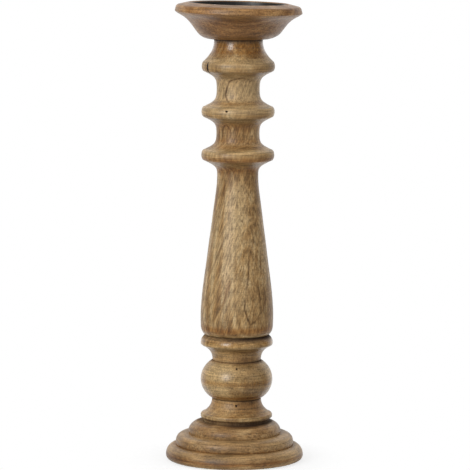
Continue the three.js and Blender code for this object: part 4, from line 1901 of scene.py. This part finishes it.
@dataclass(frozen=True)
class Studio:
    """Pale floor, white surround and soft lamps.

    The floor fades out between the radii of floor_fade and lets light through inside those of floor_opening,
    under the foot. Between two edges the surround goes from the first to the second of their levels, and the
    edges are the direction's Y for the back and its Z for the ground and the sky.
    """

    floor_colour: str = "#c9c7c3"
    white: str = "#ffffff"
    floor_sides: int = 96
    floor_fade: Pair = (0.05, 0.13)
    floor_opening: Pair = (0.055, 0.068)
    floor_strength: float = 0.3
    sky_edges: Pair = (-0.5, 0.6)
    sky_levels: Pair = (0.33, 0.55)
    back_edges: Pair = (0.35, 0.7)
    back_levels: Pair = (0.08, 1.3)
    ground_edges: Pair = (-0.7, -0.1)
    ground_levels: Pair = (0.5, 0.0)
    lamps: tuple[Lamp, ...] = (
        Lamp("key", (-1.2, -1.6, 1.05), (0.0, 0.0, 0.27), (0.7, 1.1), 25.0, mirrored=True),
        Lamp("fill", (1.5, -1.6, 0.7), (0.0, 0.0, 0.25), (0.9, 0.9), 7.6),
        Lamp("top", (-0.25, -0.35, 1.75), (0.0, 0.0, 0.3), (0.9, 0.9), 3.0),
    )

    def build(self) -> None:
        """Builds the floor, the surround and the lamps."""
        self._floor()
        self._surround()
        for lamp in self.lamps:
            lamp.build()

    def _floor(self) -> None:
        """Builds a round floor, x = r cos a, y = r sin a, with r the end of the fade."""
        angle = np.linspace(0, 2 * math.pi, self.floor_sides, endpoint=False)
        edge = np.stack([np.cos(angle), np.sin(angle), 0 * angle], axis=1) * self.floor_fade[1]
        mesh = bpy.data.meshes.new("floor")
        mesh.from_pydata(edge.tolist(), [], [list(range(self.floor_sides))])
        mesh.materials.append(self._floor_material())
        floor = bpy.data.objects.new("floor", mesh)
        bpy.context.scene.collection.objects.link(floor)

    def _floor_material(self) -> bpy.types.Material:
        """Makes a floor that shows the shadow near the object and fades into the white surround.

        Returns:
            The material.
        """
        made = bpy.data.materials.new("pale_floor")
        made.use_nodes = True
        graph = Graph(made.node_tree)
        path = graph.node("ShaderNodeLightPath").outputs
        seen = graph.math("MAXIMUM", path["Is Camera Ray"], path["Is Glossy Ray"])
        colour = graph.coat(linear(self.floor_colour), self.white, seen)
        away = graph.vector("LENGTH", graph.place())
        beside = graph.step(away, *self.floor_opening)
        shown = graph.fade(path["Is Camera Ray"], beside, self.floor_strength)
        above = graph.math("SUBTRACT", 1.0, graph.node("ShaderNodeNewGeometry").outputs["Backfacing"])
        solid = graph.product(graph.step(away, *self.floor_fade, 1.0, 0.0), shown, above)
        hidden = graph.math("SUBTRACT", 1.0, solid)
        diffuse = graph.node("ShaderNodeBsdfDiffuse", {"Color": colour}).outputs[0]
        clear = graph.node("ShaderNodeBsdfTransparent").outputs[0]
        mixed = graph.node("ShaderNodeMixShader", {0: hidden, 1: diffuse, 2: clear}).outputs[0]
        graph.node("ShaderNodeOutputMaterial", {"Surface": mixed})
        return made

    def _surround(self) -> None:
        """Makes a surround that is white where it is seen and softer in mirrors and as light."""
        world = bpy.data.worlds.new("studio")
        world.use_nodes = True
        bpy.context.scene.world = world
        graph = Graph(world.node_tree)
        path = graph.node("ShaderNodeLightPath").outputs
        glossy = path["Is Glossy Ray"]
        _, y, z = graph.parts(graph.node("ShaderNodeTexCoord").outputs["Generated"])
        back = graph.step(y, *self.back_edges, *self.back_levels)
        ground = graph.step(z, *self.ground_edges, *self.ground_levels)
        sky = graph.step(z, *self.sky_edges, *self.sky_levels)
        seen = graph.math("MAXIMUM", path["Is Camera Ray"], path["Is Transmission Ray"])
        mirrored = graph.product(graph.total(back, ground), glossy)
        diffuse = graph.product(sky, graph.math("SUBTRACT", 1.0, glossy))
        strength = graph.math("MAXIMUM", seen, graph.math("MAXIMUM", mirrored, diffuse))
        background = graph.node("ShaderNodeBackground", {"Color": linear(self.white), "Strength": strength})
        graph.node("ShaderNodeOutputWorld", {"Surface": background.outputs[0]})


@dataclass(frozen=True)
class PhotoCamera:
    """Camera fitted to the photograph's outline, with frame and focal length in the photograph's pixels."""

    frame_pixels: float = 470.0
    focal_pixels: float = 3090.0
    sensor: float = 36.0
    clip: Pair = (0.1, 50.0)
    place: Triple = (-0.0026, -3.356, 0.6588)
    pitch: float = 6.97
    roll: float = 0.315

    def build(self) -> None:
        """Makes the camera and sets it as the scene's."""
        data = bpy.data.cameras.new("photo_camera")
        data.sensor_width = self.sensor
        data.lens = self.focal_pixels / self.frame_pixels * self.sensor
        data.clip_start, data.clip_end = self.clip
        camera = bpy.data.objects.new("photo_camera", data)
        camera.location = self.place
        camera.rotation_euler = (math.radians(90 - self.pitch), 0, 0)
        camera.rotation_euler.rotate_axis("Z", math.radians(self.roll))
        bpy.context.scene.collection.objects.link(camera)
        bpy.context.scene.camera = camera


# This holder: how its wood was cut and what marks its pieces

COLUMN_LOG = Log(
    pith=(-38.0, 58.0, 0.0),
    rise=(-0.06, 0.092, 1.0),
    fibre=(0.24, -0.08, 1.0),
    ovals=(
        Oval(45.4, 214.0, 15.0, 61.0, lean=0.39, rim=0.85, fade=0.5, side=0.3),
        Oval(40.0, 184.0, 2.2, 24.0, lean=-0.14, inside=-0.6),
        Oval(51.0, 180.0, 2.0, 20.0, inside=-0.5),
        Oval(50.0, 226.0, 2.5, 24.0, lean=0.2, inside=-0.45),
        Oval(-6.0, 260.0, 15.0, 75.0, lean=0.25, inside=0.6),
        Oval(-16.0, 181.0, 3.0, 32.0, lean=0.51, inside=0.5),
        Oval(2.0, 184.0, 16.0, 30.0, lean=0.3, inside=0.3),
        Oval(-43.0, 226.0, 2.6, 36.0, lean=0.72, inside=-0.5),
        Oval(-27.3, 173.0, 2.2, 26.0, lean=0.85, inside=-0.5),
        Oval(13.0, 404.5, 20.0, 16.5, rim=0.85, fade=-0.9, side=1.2, inside=0.2),
        Oval(-33.0, 356.0, 5.5, 14.0, rim=0.75, fade=-1.2),
    ),
)
COLUMN_MARKS = Marks(
    seams=(Band(139.0, 0.8, 0.5), Band(454.6, 0.5, 0.3), Band(459.4, 0.5, 0.35), Band(463.0, 2.2, 0.9)),
    # The wide band at 408 is the wood's paler zone; those at 429, 380.5 and 333 paint shade under the rings,
    # and the others darken the top neck and the column's foot and lighten and darken ring flanks, partly as
    # painted light and shade
    light_and_tone_bands=(
        Band(456.0, 8.5, -0.9), Band(449.0, 2.6, -0.5), Band(441.0, 3.0, 0.4), Band(429.0, 4.5, -0.9),
        Band(408.0, 34.0, 1.0), Band(393.6, 2.4, -0.5), Band(380.5, 2.5, -0.5), Band(350.0, 3.0, 0.5),
        Band(342.0, 2.5, 0.6), Band(333.0, 4.0, -0.8), Band(147.0, 5.0, -0.9),
    ),
    polish=(Band(456.0, 9.0),),
    blemishes=(Blemish(-58.0, 432.6, 1.5, 5.0, 2.2), Blemish(-18.5, 386.8, 1.1, 0.9, 1.4)),
)
BALL_LOG = Log(
    pith=(-40.0, 72.0, 0.0),
    rise=(0.05, 0.03, 1.0),
    fibre=(0.04, 0.0, 1.0),
    shift=3.0,
    # The two ovals paint light on the left of the ball and shade on its right
    ovals=(Oval(-36.0, 92.0, 24.0, 62.0, inside=0.75), Oval(34.0, 92.0, 20.0, 64.0, inside=-0.4)),
)
BALL_MARKS = Marks(
    # The wide seam over the collar is partly painted shadow under the lip
    seams=(Band(44.2, 3.4), Band(68.4, 0.8, 0.9), Band(110.8, 1.1, 0.85), Band(138.3, 3.1)),
    # Band 102 paints a highlight on the ball's upper half and band 72 paints shade under it; the others
    # lighten and darken the bead, the cove, the ball's middle and the flare
    light_and_tone_bands=(
        Band(134.0, 6.0, -0.5), Band(119.0, 6.0, 0.5), Band(102.0, 8.0, 0.6), Band(89.0, 4.0, -0.6),
        Band(72.0, 2.4, -0.9), Band(61.0, 6.0, 0.2),
    ),
    polish=(Band(132.5, 6.0, 0.9), Band(90.0, 18.0, 0.6)),
    blemishes=(Blemish(0.0, 105.4, 1.0, 0.7, 1.4), Blemish(-0.5, 63.6, 1.0, 1.2, 1.6)),
)
FOOT_LOG = Log(
    pith=(0.0, 12.0, -60.0),
    rise=(1.0, -0.06, 0.02),
    fibre=(1.0, -0.06, 0.02),
    shift=17.0,
    # The first oval darkens the left near the bottom and the second lightens the right; the third paints the
    # lip's shadow on the foot's top in front
    ovals=(
        Oval(-66.0, 3.0, 40.0, 11.0, inside=-0.4),
        Oval(58.0, 18.0, 30.0, 22.0, inside=0.5),
        Oval(14.0, 42.6, 30.0, 2.6, inside=-0.95),
    ),
)
FOOT_MARKS = Marks(
    # The seam next to the collar is partly painted shadow of the lip
    seams=(Band(43.1, 0.9, 0.85), Band(29.4, 0.9, 0.15), Band(17.0, 0.9, 0.15)),
    # Band 13.5 paints light on the lowest step's upward shoulder; the others lighten the upper steps, darken
    # the foot towards its bottom and lighten its lowest edge
    light_and_tone_bands=(
        Band(30.0, 3.0, 0.6), Band(24.0, 6.0, 0.5), Band(13.5, 3.5, 0.8), Band(7.5, 2.6, -0.7),
        Band(1.5, 2.6, 0.9),
    ),
    off_centre=-2.0,
)
DISH_LOG = Log(
    pith=(0.0, 20.0, 415.0),
    rise=(1.0, 0.05, 0.03),
    fibre=(1.0, 0.05, 0.03),
    shift=11.0,
    # The oval paints a highlight on the front of the band
    ovals=(Oval(-4.0, 496.0, 40.0, 9.0, inside=0.5),),
)
DISH_LEAN = math.tan(math.radians(1.18))
DISH_MARKS = Marks(seams=(Band(463.1, 0.6, 0.8),), slant=DISH_LEAN, slant_heights=(463.3, 472.0))
PAN_MARKS = Marks(wobble=0.05, slant=DISH_LEAN)


def holder_parts() -> list[tuple[TurnedPiece, Finish]]:
    """Lists the pieces in building order, each with its finish.

    Returns:
        Pairs of piece and finish.
    """
    foot_wood = WoodFinish(
        "foot_wood", FOOT_LOG, dark="#684b29", middle="#8b683e", pale="#a6875c", figure=0.2, seam_lit_left=0.9
    )
    ball_wood = WoodFinish(
        "ball_wood", BALL_LOG, pale="#bb9e6f", least_level=0.8, streak=0.7, grain=0.5, seam_lit_left=0.5
    )
    column_wood = WoodFinish("column_wood", COLUMN_LOG, middle="#a18052", fleck=0.65, grain=0.25)
    dish_wood = WoodFinish(
        "dish_wood", DISH_LOG, dark="#694621", middle="#8a6135", pale="#a67f50", streak=0.5, grain=0.6
    )
    beech = WoodFinish("dowel_beech", COLUMN_LOG, dark="#b08d5c", middle="#c4a373", pale="#d2b58a")
    zinc = ZincFinish("zinc_plating")
    felt = FeltFinish("brown_felt")
    dish_screw = WoodScrew(
        node="dish_screw",
        aim=Aim.DOWN,
        core=2.2,
        length=48.0,
        head_radius=4.8,
        head_rim=0.4,
        head_height=2.8,
        head_dome=0.0,
    )
    pads = [FeltPad(node=name) for name in sorted(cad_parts) if name.startswith("felt_pad")]
    return [
        (Foot(marks=FOOT_MARKS), foot_wood),
        (BallSection(marks=BALL_MARKS), ball_wood),
        (Column(marks=COLUMN_MARKS), column_wood),
        (Dish(marks=DISH_MARKS), dish_wood),
        (Dowel(), beech),
        (Pan(marks=PAN_MARKS), EnamelFinish("pan_enamel")),
        (Washer(), zinc),
        (WoodScrew(node="foot_screw"), zinc),
        (dish_screw, zinc),
        *((pad, felt) for pad in pads),
    ]


def main() -> None:
    """Builds the camera, the studio and the holder."""
    logging.basicConfig(level=logging.INFO, format="%(message)s")
    bpy.context.scene.view_settings.view_transform = "Standard"
    PhotoCamera().build()
    Studio().build()
    groups = SharedGroups()
    materials: dict[Finish, bpy.types.Material] = {}
    for part, finish in holder_parts():
        piece = part.build()
        if finish not in materials:
            materials[finish] = finish.material(groups)
        part.dress(materials[finish])
        logger.info("%s: %d faces, %s", piece.name, len(piece.data.polygons), materials[finish].name)


if __name__ == "__main__":
    main()
